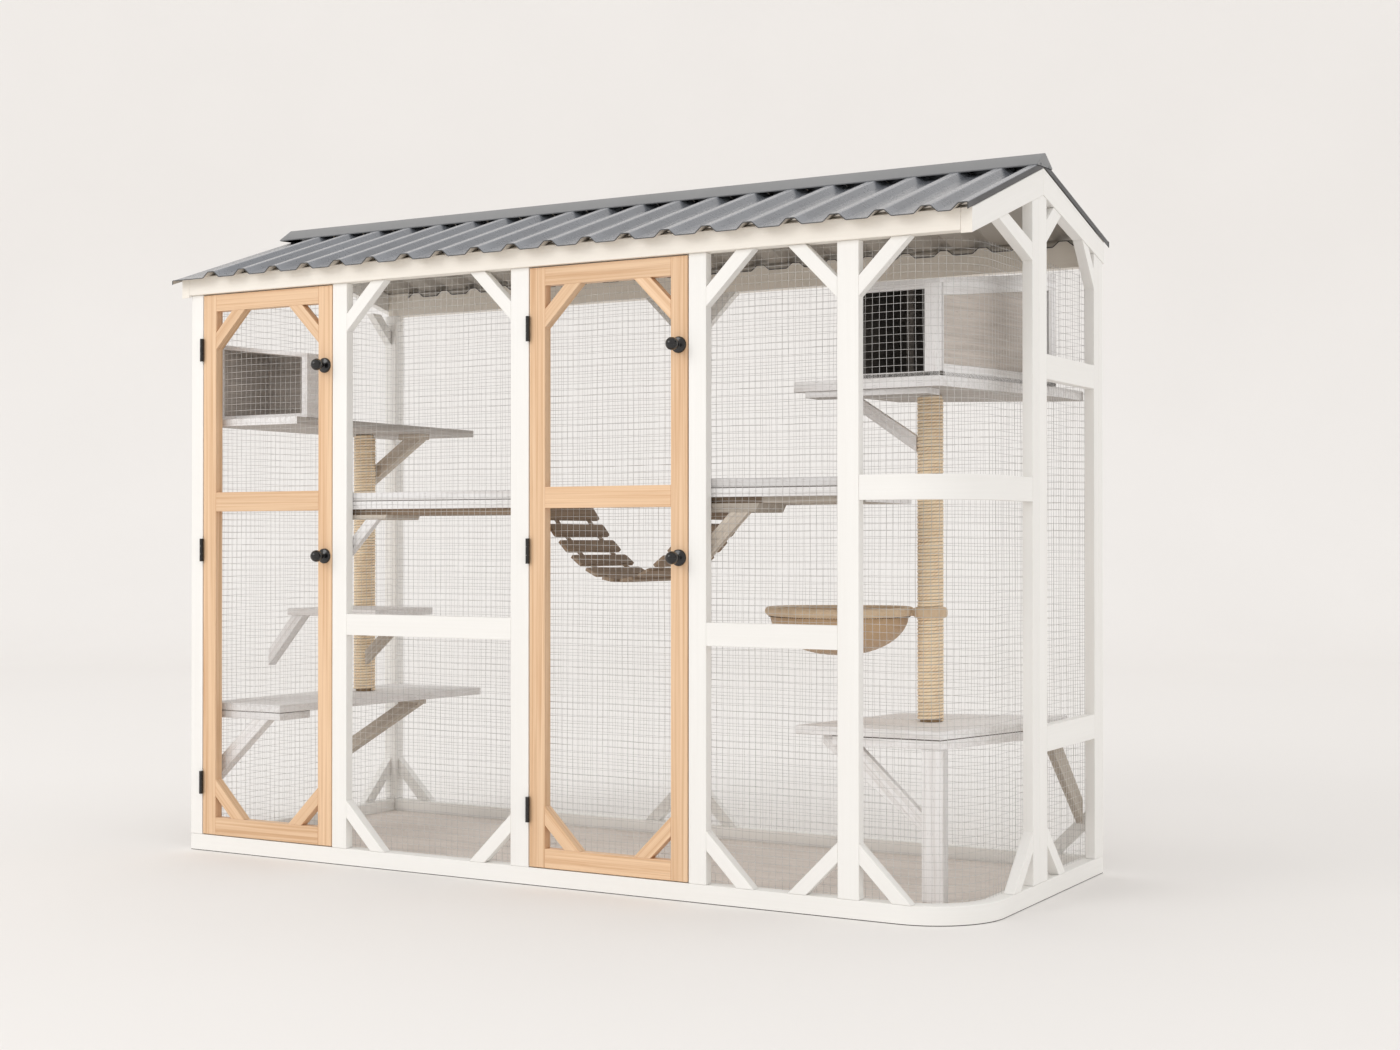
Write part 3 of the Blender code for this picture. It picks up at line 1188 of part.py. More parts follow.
build_walkway("walkway_left", left_end, right_end, ((left_end, left_end + WALK_LUG), (right_end - WALK_LUG, right_end)),
              WALK_L_Z,
              WALK_L_CLEAT, P1_X + WALK_L_CLEAT_END, P1_X + WALK_L_BRACE_IN, WALK_L_BRACE_RISE, WALK_L_BRACE_W)
left_end, right_end = P3_X + NET_LAP, P4_END - LAP
build_walkway("walkway_right", left_end, right_end, ((left_end, P3_END - NET_LAP - FIT),), WALK_R_Z,
              WALK_R_CLEAT, P3_X + WALK_R_CLEAT_END, P3_X + WALK_R_BRACE_IN, WALK_R_BRACE_RISE, WALK_R_BRACE_W)
build_bridge()
build_right_furniture()
build_hammock()
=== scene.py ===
"""Looks of the outdoor pet enclosure: timber frame, wire nets, ribbed roof, doors and furniture."""

import math
import random

import bmesh
import bpy
from mathutils import Matrix, Vector


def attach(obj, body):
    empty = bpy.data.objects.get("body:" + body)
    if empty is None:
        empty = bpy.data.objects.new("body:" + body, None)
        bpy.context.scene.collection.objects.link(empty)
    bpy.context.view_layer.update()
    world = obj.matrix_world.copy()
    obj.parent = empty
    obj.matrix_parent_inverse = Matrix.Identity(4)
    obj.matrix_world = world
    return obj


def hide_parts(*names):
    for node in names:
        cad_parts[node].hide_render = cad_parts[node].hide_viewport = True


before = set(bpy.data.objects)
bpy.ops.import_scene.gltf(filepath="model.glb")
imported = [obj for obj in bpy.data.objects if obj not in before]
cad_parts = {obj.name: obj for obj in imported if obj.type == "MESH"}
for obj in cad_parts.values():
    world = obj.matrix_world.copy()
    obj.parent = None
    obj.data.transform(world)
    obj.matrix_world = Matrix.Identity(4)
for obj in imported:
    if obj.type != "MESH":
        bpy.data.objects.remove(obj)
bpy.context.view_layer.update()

# Sizes in metres, drawn from the left front corner of the footprint as in the CAD source
LENGTH, WIDTH = 2.510, 0.956
CENTRE_X, CENTRE_Y = LENGTH / 2, WIDTH / 2
RADIUS = 0.200  # of the front right corner, in plan
GAP = 0.0003  # between pieces that touch
SILL_H, POST_D, FRAME_T = 0.048, 0.045, 0.028
LOW, HIGH, REAR_HIGH = 0.0483, 1.6622, 1.6907  # ends of the posts
P1, P2, P3, P4 = (0.548, 0.600), (1.172, 1.231), (1.7295, 1.781), (2.152, 2.210)  # front posts
P5, P6 = (0.400, 0.505), (0.885, 0.956)  # posts of the right end, each of two boards
P5_JOINT, P6_JOINT = 0.4472, 0.9208
MID_RAIL, BENT_RAIL, END_RAILS = (0.657, 0.717), (1.025, 1.087), ((0.380, 0.447), (1.345, 1.410))
REAR_POST = (1.170, 1.220)
END_X = LENGTH - FRAME_T
EAVE = 0.012  # how far the boards of the roof stand out past the frame
APEX, SLOPE_FRONT, SLOPE_REAR = 1.888, 0.352, 0.265
RAKE_APEX, RAKE_FRONT, RAKE_REAR = 1.818, 1.6545, 1.700  # lower edge of the gable boards
RIB_H, RIB_PITCH = 0.017, 0.1204
SHEET_LIFT, SHEET_T = 0.0015, 0.0009  # of the roof sheets over the boards, and their thickness
NET_Y, NET_LOW, NET_HIGH = 0.0283, 0.050, 1.6605
WIRE_PITCH, WIRE_R = 0.01905, 0.00048
WALL_X, WALL_Y0, WALL_Y1 = 0.0306, 0.0453, 0.9107  # inner faces that the left shelves meet
BOARD_T, TIER_T, HOUSE_T = 0.022, 0.023, 0.012  # boards of the shelves, of the tiers below them and of the houses
INSET = 0.0015  # of a tier or bracket behind the edge of its shelf
LOW_LEFT, STEP, HIGH_LEFT = 0.440, 0.716, 1.291  # tops of the shelves
HIGH_REACH = 0.374  # right edge of the high left shelf and of the house on it
LOW_RIGHT, HIGH_RIGHT, HIGH_RIGHT_T = 0.445, 1.340, 0.027
WALK_LEFT, WALK_RIGHT, WALK_Y0, WALK_Y1 = 1.063, 1.085, 0.0306, 0.3406
POST_LEFT, POST_RIGHT = (0.156, 0.616), (LENGTH - 0.317, 0.483)
POST_R, ROPE_R = 0.0355, 0.0045
BEVEL, SOFT, THIN, FINE = 0.0013, 0.0016, 0.0010, 0.0002  # rounding of edges
BRACE = (0.088, 0.138)  # where a corner brace meets the members
FRONT = (0.0, FRAME_T)
X, Y, Z, DOWN = (1, 0, 0), (0, 1, 0), (0, 0, 1), (0, 0, -1)

random.seed(7)


# Meshes
def turns(n):
    """The angles of n even steps round a circle."""
    return [2 * math.pi * i / n for i in range(n)]


def shares(n):
    """Even steps from 0 to 1."""
    return [i / n for i in range(n + 1)]


def at(level, p):
    """A height, which may be a function of the point."""
    return level(p) if callable(level) else level


def outward(bm):
    bmesh.ops.recalc_face_normals(bm, faces=bm.faces[:])
    return bm


def skin(bm, rows, closed=True, caps=False):
    """Faces between rows of points, and over the first and last row if asked."""
    for a, b in zip(rows, rows[1:]):
        n = len(a)
        for i in range(n if closed else n - 1):
            bm.faces.new((a[i], a[(i + 1) % n], b[(i + 1) % n], b[i]))
    if caps:
        bm.faces.new(rows[0][::-1])
        bm.faces.new(rows[-1])
    return outward(bm)


def prism(points, axis, lo, hi):
    """An outline in the plane across an axis, drawn out from lo to hi, which may be functions of the point."""
    bm = bmesh.new()

    def ring(level):
        return [bm.verts.new((*p[:axis], at(level, p), *p[axis:])) for p in points]

    low, top = ring(lo), ring(hi)
    bm.faces.new(low)
    bm.faces.new(top[::-1])
    for i in range(len(points)):
        j = (i + 1) % len(points)
        bm.faces.new((low[j], low[i], top[i], top[j]))
    return outward(bm)


def rect(a, b):
    return [(a[0], b[0]), (a[1], b[0]), (a[1], b[1]), (a[0], b[1])]


def soften(bm, width, least=0.35):
    """Rounds the sharp edges and returns the points along the middle of each rounding."""
    edges = [e for e in bm.edges if len(e.link_faces) == 2 and e.calc_face_angle(0.0) > least]
    made = bmesh.ops.bevel(bm, geom=edges, offset=width, offset_type="OFFSET", segments=2, profile=0.5,
                           affect="EDGES", clamp_overlap=True)
    fresh = set(made["faces"])
    return {v for v in bm.verts if all(f in fresh for f in v.link_faces)}


def turned(bm, rings, sides):
    """Faces round a turned form; a ring of one point is a pole."""
    for a, b in zip(rings, rings[1:]):
        for i in range(sides):
            j = (i + 1) % sides
            corners = list(dict.fromkeys((a[i % len(a)], a[j % len(a)], b[j % len(b)], b[i % len(b)])))
            if len(corners) > 2:
                bm.faces.new(corners)
    return outward(bm)


def lathe(profile, sides, centre, axis=2):
    """A profile of (radius, height) pairs turned about a line through the centre."""
    bm = bmesh.new()
    rings = []
    for r, h in profile:
        ring = []
        for a in turns(sides if r > 0 else 1):
            u, v = r * math.cos(a), r * math.sin(a)
            ring.append(bm.verts.new([c + q for c, q in zip(centre, (u, h, v) if axis == 1 else (u, v, h))]))
        rings.append(ring)
    return turned(bm, rings, sides)


def tube(points, radius, sides, up=None, closed=False):
    """A tube along points; radius may be a function of the share of the way along."""
    bm = bmesh.new()
    rings, normal = [], None
    pts = [Vector(p) for p in points]
    n = len(pts)
    for i, p in enumerate(pts):
        a, b = (pts[i - 1], pts[(i + 1) % n]) if closed else (pts[max(i - 1, 0)], pts[min(i + 1, n - 1)])
        d = (b - a).normalized()
        if up is not None:
            normal = Vector(up(p)) if callable(up) else Vector(up)
        elif normal is None:
            normal = d.orthogonal()
        normal = (normal - d * normal.dot(d)).normalized()
        side = d.cross(normal)
        r = radius(i / (n - 1)) if callable(radius) else radius
        rings.append([bm.verts.new(p + (normal * math.cos(t) + side * math.sin(t)) * r) for t in turns(sides)])
    return skin(bm, rings + rings[:1] if closed else rings, caps=not closed)


def rounded_line(pts, reach, steps=3):
    """A line whose corners are turned with short arcs."""
    out = [pts[0]]
    for a, b, c in zip(pts, pts[1:], pts[2:]):
        va, vc = Vector(a) - Vector(b), Vector(c) - Vector(b)
        r = min(reach, va.length * 0.45, vc.length * 0.45)
        p, q = Vector(b) + va.normalized() * r, Vector(b) + vc.normalized() * r
        out += [tuple(p * (1 - t) ** 2 + Vector(b) * 2 * t * (1 - t) + q * t ** 2) for t in shares(steps)]
    return out + [pts[-1]]


def link(name, data):
    obj = bpy.data.objects.new(name, data)
    bpy.context.scene.collection.objects.link(obj)
    return obj


def place(name, mesh, body, nodes):
    """The object of a mesh, on its body and in place of the nodes of the CAD."""
    obj = link(name, mesh)
    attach(obj, body)
    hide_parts(*nodes)
    return obj


class Piece:
    """One piece of the object, gathered from parts that each carry their own grain."""

    def __init__(self, name, nodes, slot, materials, body="frame"):
        self.name, self.nodes, self.slot, self.body = name, nodes, slot, body
        self.materials = materials if isinstance(materials, list) else [materials]
        self.verts, self.faces, self.grain, self.tint, self.worn, self.index = [], [], [], [], [], []

    def add(self, bm, along, tint=None, index=0, worn=()):
        """Takes in a mesh; along is the direction of its grain or a function giving its grain coordinates."""
        bm.normal_update()
        base = len(self.verts)
        shade = random.uniform(-1.0, 1.0) if tint is None else tint
        jump = Vector([random.uniform(0, 40) for _ in range(3)])
        if not callable(along):
            d = Vector(along).normalized()
            a = d.cross(Vector((0.31, 0.17, 0.93))).normalized() if abs(d.z) < 0.9 else Vector(X)
            if max(abs(x) for x in d) > 0.999:
                a = Vector(Y) if abs(d.y) < 0.5 else Vector(X)
            b = d.cross(a)
        order = {}
        for i, v in enumerate(bm.verts):
            order[v] = base + i
            p = v.co
            self.verts.append((p.x - CENTRE_X, p.y - CENTRE_Y, p.z))
            self.grain.append(jump + Vector(along(p) if callable(along) else (p.dot(d), p.dot(a), p.dot(b))))
            self.tint.append(shade)
            self.worn.append(1.0 if v in worn else 0.0)
        for f in bm.faces:
            self.faces.append([order[v] for v in f.verts])
            self.index.append(f.material_index if index is None else index)
        bm.free()
        return self

    def board(self, points, axis, lo, hi, along, bevel=BEVEL, tint=None, index=0):
        bm = prism(points, axis, lo, hi)
        worn = soften(bm, bevel)
        return self.add(bm, along, tint, index, worn)

    def block(self, x, y, z, along, bevel=BEVEL, tint=None, index=0):
        return self.board(rect(x, y), 2, z[0], z[1], along, bevel, tint, index)

    def done(self, weighted=True, sharp=None):
        mesh = bpy.data.meshes.new(self.name)
        mesh.from_pydata(self.verts, [], self.faces)
        grain = mesh.attributes.new("grain", "FLOAT_VECTOR", "POINT")
        grain.data.foreach_set("vector", [c for g in self.grain for c in g])
        for key, values in (("tint", self.tint), ("worn", self.worn)):
            mesh.attributes.new(key, "FLOAT", "POINT").data.foreach_set("value", values)
        for material in self.materials:
            mesh.materials.append(material)
        mesh.polygons.foreach_set("material_index", self.index)
        mesh.shade_smooth()
        if sharp:
            mesh.set_sharp_from_angle(angle=math.radians(sharp))
        obj = place(self.name, mesh, self.body, self.nodes)
        if weighted:
            obj.modifiers.new("normals", "WEIGHTED_NORMAL").keep_sharp = True
        return obj


def refinish(obj, way, index, least=0.9):
    """Gives the faces that look one way another of the piece's materials."""
    for face in obj.data.polygons:
        if face.material_index == 0 and face.normal.dot(Vector(way)) > least:
            face.material_index = index


# Shaders
class Nodes:
    """The node tree of a material or world, with short ways to add and join nodes."""

    def __init__(self, owner, end="Principled BSDF"):
        owner.use_nodes = True
        self.owner, self.tree = owner, owner.node_tree
        self.end = self.tree.nodes[end]

    def put(self, socket, value):
        if hasattr(value, "is_output"):
            self.tree.links.new(value, socket)
        elif isinstance(value, (tuple, list)) and len(value) == 3 and socket.type == "RGBA":
            socket.default_value = (*value, 1.0)
        else:
            socket.default_value = value

    def node(self, kind, sockets=None, **props):
        made = self.tree.nodes.new("ShaderNode" + kind)
        for key, value in props.items():
            setattr(made, key, value)
        for key, value in (sockets or {}).items():
            self.put(made.inputs[key], value)
        return made

    def attribute(self, name):
        return self.node("Attribute", attribute_name=name).outputs["Vector" if name == "grain" else "Fac"]

    def spot(self):
        return self.node("TexCoord").outputs["Object"]

    def noise(self, vector, scale, detail=4.0, rough=0.55, bend=0.0):
        return self.node("TexNoise", {"Vector": vector, "Scale": scale, "Detail": detail, "Roughness": rough,
                                      "Distortion": bend}).outputs["Fac"]

    def grain(self, scale, detail, rough, bend=0.0):
        """Noise drawn out along the grain; two scales stand for along and across."""
        scale = scale if len(scale) == 3 else (scale[0], scale[1], scale[1])
        drawn = self.node("Mapping", {"Vector": self.attribute("grain"), "Scale": scale}).outputs["Vector"]
        return self.noise(drawn, 1.0, detail, rough, bend)

    def ramp(self, fac, *stops):
        made = self.node("ValToRGB", {"Fac": fac})
        line = made.color_ramp.elements
        while len(line) < len(stops):
            line.new(0.5)
        for mark, (share, colour) in zip(line, stops):
            mark.position = share
            mark.color = (*colour, 1.0) if isinstance(colour, tuple) else (colour, colour, colour, 1.0)
        return made.outputs["Color"]

    def rise(self, fac, start, stop):
        """From 0 to 1 between two values."""
        return self.ramp(fac, (start, 0.0), (stop, 1.0))

    def math(self, kind, a, b=0.0, c=0.0, clamp=False):
        made = self.node("Math", operation=kind, use_clamp=clamp)
        for i, value in enumerate((a, b, c)):
            self.put(made.inputs[i], value)
        return made.outputs[0]

    def sum(self, *parts):
        """Adds up pairs of value and weight; a last part that is no pair is added as it is."""
        total = parts[-1] if not isinstance(parts[-1], tuple) else None
        for value, weight in reversed(parts if total is None else parts[:-1]):
            total = (self.math("MULTIPLY", value, weight) if total is None
                     else self.math("MULTIPLY_ADD", value, weight, total))
        return total

    def mix(self, fac, a, b, blend="MIX"):
        made = self.node("Mix", data_type="RGBA", blend_type=blend)
        for i, value in ((0, fac), (6, a), (7, b)):
            self.put(made.inputs[i], value)
        return made.outputs[2]

    def shade_by(self, colour, amount):
        """Makes some boards a little lighter and others a little darker."""
        spread = self.sum((self.attribute("tint"), amount), 1.0)
        grey = self.node("CombineColor", {"Red": spread, "Green": spread, "Blue": spread}).outputs[0]
        return self.mix(1.0, colour, grey, "MULTIPLY")

    def bump(self, height, strength, distance):
        return self.node("Bump", {"Height": height, "Strength": strength, "Distance": distance}).outputs["Normal"]

    def set(self, **values):
        for key, value in values.items():
            self.put(self.end.inputs[key.replace("_", " ")], value)
        return self.owner


def shader(name):
    return Nodes(bpy.data.materials.new(name))


def painted_wood(name, light, dark):
    """Opaque satin paint through which the grain shows faintly, thinner on the edges that wear."""
    s = shader(name)
    fine, wide = s.grain((3.0, 160.0), 5.0, 0.6), s.grain((0.9, 16.0), 3.0, 0.5, 0.7)
    brush, patch = s.grain((5.0, 420.0), 2.0, 0.5), s.grain((22.0, 60.0), 3.0, 0.6)
    colour = s.shade_by(s.ramp(s.sum((fine, 0.45), (wide, 0.55)), (0.30, dark), (0.62, light)), 0.010)
    wear = s.math("MULTIPLY", s.attribute("worn"), s.rise(patch, 0.55, 0.72))
    colour = s.mix(s.sum((wear, 0.35)), colour, (0.70, 0.62, 0.50))
    return s.set(Base_Color=colour, Roughness=s.sum((wide, 0.16), 0.40), Specular_IOR_Level=0.42,
                 Normal=s.bump(s.sum((brush, 0.3), (fine, 0.7)), 0.16, 0.0006))


def clear_wood(name, light, mid, dark):
    """Oiled softwood: fine fibres, wider growth lines and a few darker streaks."""
    s = shader(name)
    fibre, lines = s.grain((3.5, 300.0), 5.0, 0.62), s.grain((1.1, 96.0), 6.0, 0.6, 0.6)
    wide = s.grain((0.7, 20.0), 3.0, 0.5, 0.9)
    tone = s.sum((lines, 0.60), (wide, 0.15), (fibre, 0.25))
    colour = s.ramp(tone, (0.40, dark), (0.50, mid), (0.60, light))
    streak = s.rise(s.grain((1.6, 120.0), 3.0, 0.5), 0.60, 0.74)
    colour = s.mix(s.sum((streak, 0.32)), colour, tuple(c * 0.72 for c in dark))
    colour = s.mix(s.sum((s.attribute("worn"), 0.30)), s.shade_by(colour, 0.045), light)
    return s.set(Base_Color=colour, Roughness=s.sum((lines, 0.2), 0.34), Specular_IOR_Level=0.4,
                 Normal=s.bump(s.sum((fibre, 0.5), (lines, 0.5)), 0.22, 0.0005))


def washed_wood(name, wash, bare, pore, cover=0.52, rough=0.62):
    """Timber rubbed with thin white: pale where the wash holds, browner grain in the pores and on the edges."""
    s = shader(name)
    fibre, lines = s.grain((9.0, 420.0), 5.0, 0.65), s.grain((2.0, 90.0), 5.0, 0.6, 0.4)
    cloud = s.grain((5.0, 22.0), 3.0, 0.55)
    tone = s.sum((lines, 0.5), (cloud, 0.2), (fibre, 0.3))
    colour = s.ramp(tone, (cover - 0.15, bare), (cover + 0.03, wash))
    specks = s.rise(s.grain((60.0, 700.0), 2.0, 0.5), 0.63, 0.72)
    colour = s.shade_by(s.mix(s.sum((specks, 0.5)), colour, pore), 0.05)
    rubbed = s.math("MULTIPLY", s.attribute("worn"), s.rise(cloud, 0.42, 0.62))
    colour = s.mix(s.sum((rubbed, 0.45)), colour, bare)
    return s.set(Base_Color=colour, Roughness=s.sum((fibre, 0.2), rough - 0.1), Specular_IOR_Level=0.3,
                 Normal=s.bump(s.sum((fibre, 0.6), (lines, 0.4)), 0.35, 0.0006))


def coated_metal(name, colour, rough, metallic, spots=0.10, coat=0.0):
    """Factory-coated sheet: an even colour with faint clouding, dust and a fine orange-peel."""
    s = shader(name)
    spot = s.spot()
    cloud, dust, peel = s.noise(spot, 3.5), s.noise(spot, 34.0, 5.0, 0.65), s.noise(spot, 900.0, 2.0, 0.5)
    light = tuple(min(1.0, c * (1 + spots)) for c in colour)
    dark = tuple(c * (1 - spots) for c in colour)
    tone = s.ramp(s.sum((cloud, 0.7), (dust, 0.3)), (0.36, dark), (0.64, light))
    # Lighter where worn is set: painted highlights along the rib crests and edges of the roof sheets, wear on the edges
    # of other pieces.
    tone = s.mix(s.sum((s.attribute("worn"), 0.35)), tone, tuple(min(1.0, c * 1.6 + 0.05) for c in colour))
    return s.set(Base_Color=tone, Roughness=s.sum((dust, 0.16), rough - 0.08), Metallic=metallic,
                 Normal=s.bump(peel, 0.05, 0.0002), Coat_Weight=coat, Coat_Roughness=0.12)


def galvanised(name):
    """Zinc with a fine spangle and duller patches."""
    s = shader(name)
    spot = s.spot()
    zinc, patch = s.noise(spot, 260.0, 4.0, 0.6), s.noise(spot, 5.0, 3.0, 0.5)
    tone = s.ramp(s.sum((zinc, 0.5), (patch, 0.5)), (0.35, (0.52, 0.51, 0.50)), (0.65, (0.74, 0.73, 0.71)))
    return s.set(Base_Color=tone, Metallic=0.45, Roughness=s.sum((zinc, 0.2), 0.34), Normal=s.bump(zinc, 0.1, 0.0002))


def rope(name, light, dark):
    """Twisted natural fibre; grain runs along the rope and then round it, and its inner side and the grooves between
    turns are darker, painted shade.
    """
    s = shader(name)
    split = s.node("SeparateXYZ", {"Vector": s.attribute("grain")})
    twist = 0.0105  # length of one turn of the strands
    along, round_it = split.outputs[0], split.outputs[1]
    lay = s.math("SINE", s.sum((along, 2 * math.pi / twist), (round_it, 3.0)))
    hairs = s.grain((900.0, 6.0, 1.0), 4.0, 0.7)
    tone = s.sum((lay, 0.08), (hairs, 0.42), (s.noise(s.spot(), 34.0, 4.0, 0.6), 0.5))
    colour = s.ramp(tone, (0.22, tuple(c * 0.70 for c in dark)), (0.33, dark), (0.46, light))
    # Darker on the inner side of the rope and in the grooves between turns: painted shade.
    groove_shade_mask = s.sum((s.math("COSINE", round_it), -1.0))
    colour = s.mix(1.0, colour, s.ramp(groove_shade_mask, (0.52, (0.42, 0.40, 0.38)), (0.80, 1.0)), "MULTIPLY")
    return s.set(Base_Color=colour, Roughness=0.88, Normal=s.bump(s.sum((lay, 0.5), hairs), 0.7, 0.0008),
                 Specular_IOR_Level=0.2, Sheen_Weight=0.25, Sheen_Roughness=0.5)


def plush(name, light, dark):
    """Short pile with a nap that lies this way and that."""
    s = shader(name)
    spot = s.spot()
    pile, nap = s.noise(spot, 620.0, 4.0, 0.7), s.noise(spot, 60.0, 4.0, 0.6, 0.6)
    colour = s.ramp(s.sum((pile, 0.5), (nap, 0.5)), (0.34, dark), (0.64, light))
    return s.set(Base_Color=colour, Roughness=0.95, Normal=s.bump(s.math("ADD", pile, nap), 0.9, 0.0012),
                 Specular_IOR_Level=0.1, Sheen_Weight=0.55, Sheen_Roughness=0.45, Sheen_Tint=(1.0, 0.94, 0.84, 1.0))


def woven(name, light, dark):
    """Plain weave seen on the flat cloth: threads pass over and under each other."""
    s = shader(name)
    thread = 0.0012
    split = s.node("SeparateXYZ", {"Vector": s.attribute("grain")})
    warp, weft = (s.math("SINE", s.sum((split.outputs[i], math.pi / thread))) for i in (0, 1))
    cross = s.math("MULTIPLY", warp, weft)
    slubs = [s.grain(scale, 3.0, 0.6) for scale in ((60.0, 900.0, 1.0), (900.0, 60.0, 1.0))]
    colour = s.ramp(s.sum((cross, 0.14), (slubs[0], 0.5), (slubs[1], 0.5)), (0.30, dark), (0.66, light))
    return s.set(Base_Color=colour, Roughness=0.86, Normal=s.bump(cross, 0.5, 0.0004), Specular_IOR_Level=0.2,
                 Sheen_Weight=0.35, Sheen_Roughness=0.4)


WHITE = painted_wood("white_paint", (0.915, 0.900, 0.870), (0.880, 0.862, 0.828))
FASCIA = painted_wood("fascia_paint", (0.915, 0.866, 0.790), (0.868, 0.812, 0.728))
PINE = clear_wood("oiled_pine", (0.850, 0.600, 0.392), (0.775, 0.522, 0.322), (0.665, 0.405, 0.225))
WASH = washed_wood("washed_timber", (0.880, 0.865, 0.860), (0.720, 0.690, 0.670), (0.38, 0.34, 0.32))
PANEL = washed_wood("washed_panel", (0.665, 0.600, 0.545), (0.500, 0.445, 0.400), (0.26, 0.22, 0.19), 0.54)
# A darker copy of the panel for the back and the liners inside the left house: painted shade.
SHADED = washed_wood("house_left_painted_shade", (0.560, 0.510, 0.465), (0.425, 0.382, 0.345), (0.22, 0.195, 0.17), 0.55)
BRACKET = washed_wood("bracket_timber", (0.62, 0.55, 0.47), (0.46, 0.395, 0.33), (0.22, 0.18, 0.145), 0.54)
# A darker copy of the wash for the side of the leg that looks away from the key lamp: painted shade.
SHADED_SIDE_WOOD = washed_wood("washed_side_painted_shade", (0.690, 0.675, 0.665), (0.560, 0.535, 0.515), (0.30, 0.27, 0.25))
# A darker copy of the wash for undersides and for the right side of the high left shelf: painted shade.
PAINTED_SHADE_WOOD = washed_wood("washed_wood_painted_shade", (0.530, 0.495, 0.465), (0.385, 0.352, 0.325), (0.18, 0.16, 0.145), 0.54)
JOINT = washed_wood("shadow_joint", (0.115, 0.100, 0.088), (0.080, 0.070, 0.062), (0.04, 0.035, 0.03))
# Dark slat colour, also used as painted shade on the battens below the walkways.
SLAT_AND_BATTEN_SHADE = washed_wood("slat_timber_and_batten_shade", (0.295, 0.216, 0.150), (0.205, 0.144, 0.097), (0.084, 0.058, 0.038), 0.53)
FLOOR = washed_wood("floor_board", (0.820, 0.755, 0.700), (0.680, 0.610, 0.555), (0.40, 0.34, 0.30), 0.53, 0.6)
# Near-black wash for the inside of the right house: painted shade.
INSIDE_SHADE = washed_wood("house_inside_painted_shade", (0.14, 0.125, 0.11), (0.09, 0.08, 0.07), (0.04, 0.035, 0.03), 0.53)
SHEET = coated_metal("roof_coat", (0.205, 0.218, 0.243), 0.28, 0.38, 0.11, 0.25)
SHEET_BACK = coated_metal("roof_back_coat", (0.42, 0.39, 0.35), 0.55, 0.1, 0.06)
CAP = coated_metal("cap_coat", (0.235, 0.240, 0.248), 0.40, 0.30, 0.06, 0.1)
RIM = coated_metal("rake_strip_coat", (0.075, 0.076, 0.080), 0.42, 0.3, 0.10)
BLACK = coated_metal("gloss_black", (0.0045, 0.0045, 0.005), 0.16, 0.0, 0.25, 0.25)
ZINC = galvanised("galvanised_wire")
SISAL = rope("sisal_rope", (0.990, 0.825, 0.600), (0.940, 0.700, 0.465))
CORE = clear_wood("post_core", (0.50, 0.36, 0.22), (0.42, 0.29, 0.17), (0.32, 0.21, 0.12))
PLUSH = plush("plush_cover", (0.760, 0.590, 0.410), (0.620, 0.455, 0.295))
CLOTH = woven("woven_cloth", (0.630, 0.444, 0.278), (0.500, 0.338, 0.202))
THREAD = plush("seam_thread", (0.105, 0.075, 0.050), (0.060, 0.042, 0.028))


# Lines of the frame
def rake_top(y):
    return APEX - (SLOPE_FRONT * (CENTRE_Y - y) if y < CENTRE_Y else SLOPE_REAR * (y - CENTRE_Y))


def rake_low(y):
    foot = RAKE_FRONT if y < CENTRE_Y else RAKE_REAR
    return RAKE_APEX + (foot - RAKE_APEX) * abs(y - CENTRE_Y) / (CENTRE_Y + EAVE)


def under(y):
    return rake_low(y) - GAP


def round_path(offset, x0, y1, steps=24):
    """Plan line along the front, round the corner and along the right end."""
    cx, cy, r = LENGTH - RADIUS, RADIUS, RADIUS - offset
    pts = [(x0, offset)]
    for i in range(steps + 1):
        a = -math.pi / 2 + math.pi / 2 * i / steps
        pts.append((cx + r * math.cos(a), cy + r * math.sin(a)))
    return pts + [(LENGTH - offset, y1)]


def round_band(depth, x0, y1):
    return round_path(0.0, x0, y1) + round_path(depth, x0, y1)[::-1]


def bent_grain(p):
    """Grain that follows the rounded corner."""
    straight = LENGTH - RADIUS
    if p.x < straight:
        return p.x, p.y, p.z
    if p.y > RADIUS:
        return straight + RADIUS * math.pi / 2 + p.y - RADIUS, LENGTH - p.x, p.z
    a = math.atan2(p.y - RADIUS, p.x - straight) + math.pi / 2
    return straight + RADIUS * a, RADIUS - math.hypot(p.x - straight, p.y - RADIUS), p.z


def brace(piece, cx, cz, sx, sz, axis, deep, reach=BRACE):
    """A flush diagonal across a corner."""
    inner, outer = reach
    pts = [(cx, cz + sz * outer), (cx, cz + sz * inner), (cx + sx * inner, cz), (cx + sx * outer, cz)]
    run, rise = sx * outer, -sz * outer
    piece.board(pts, axis, *deep, (run, 0, rise) if axis == 1 else (0, run, rise))


def braces(piece, low, high, sides, deep=FRONT, reach=BRACE):
    """Corner braces beside the given upright edges, at the bottom and at the top."""
    for cz, sz in ((low, 1), (high, -1)):
        for cx, sx in sides:
            brace(piece, cx, cz, sx, sz, 1, deep, reach)


def timber(name, node, materials=WHITE):
    return Piece(name, node if isinstance(node, list) else [node], "frame_wood", materials)


# Base
foot = 0.0022  # rounding of the sills, and a painted contact shadow along the foot of the front one
sill = timber("sill_front_and_corner", ["sill_front", "sill_corner_right"], [WHITE, JOINT])
sill.board(round_band(POST_D, 0.0, WIDTH), 2, 0.0, SILL_H, bent_grain, foot)
# Its down-facing faces take the dark joint colour: painted contact shadow.
refinish(sill.done(), DOWN, 1, 0.3)
sill = timber("sill_rear_and_left", "sill_rear_left")
sill.block((0.0, LENGTH - POST_D - GAP), (WIDTH - POST_D, WIDTH), (0.0, SILL_H), X, foot)
sill.block((0.0, POST_D), (POST_D + GAP, WIDTH - POST_D - GAP), (0.0, SILL_H), Y, foot).done()
inset, rear = POST_D + 0.0006, WIDTH - POST_D - 0.010
floor = Piece("floor_board_inside", ["floor_panel"], "floor_wood", FLOOR)
floor.board(round_path(inset, inset, rear) + [(inset, rear)], 2, 0.0, 0.012, X, 0.0008).done()

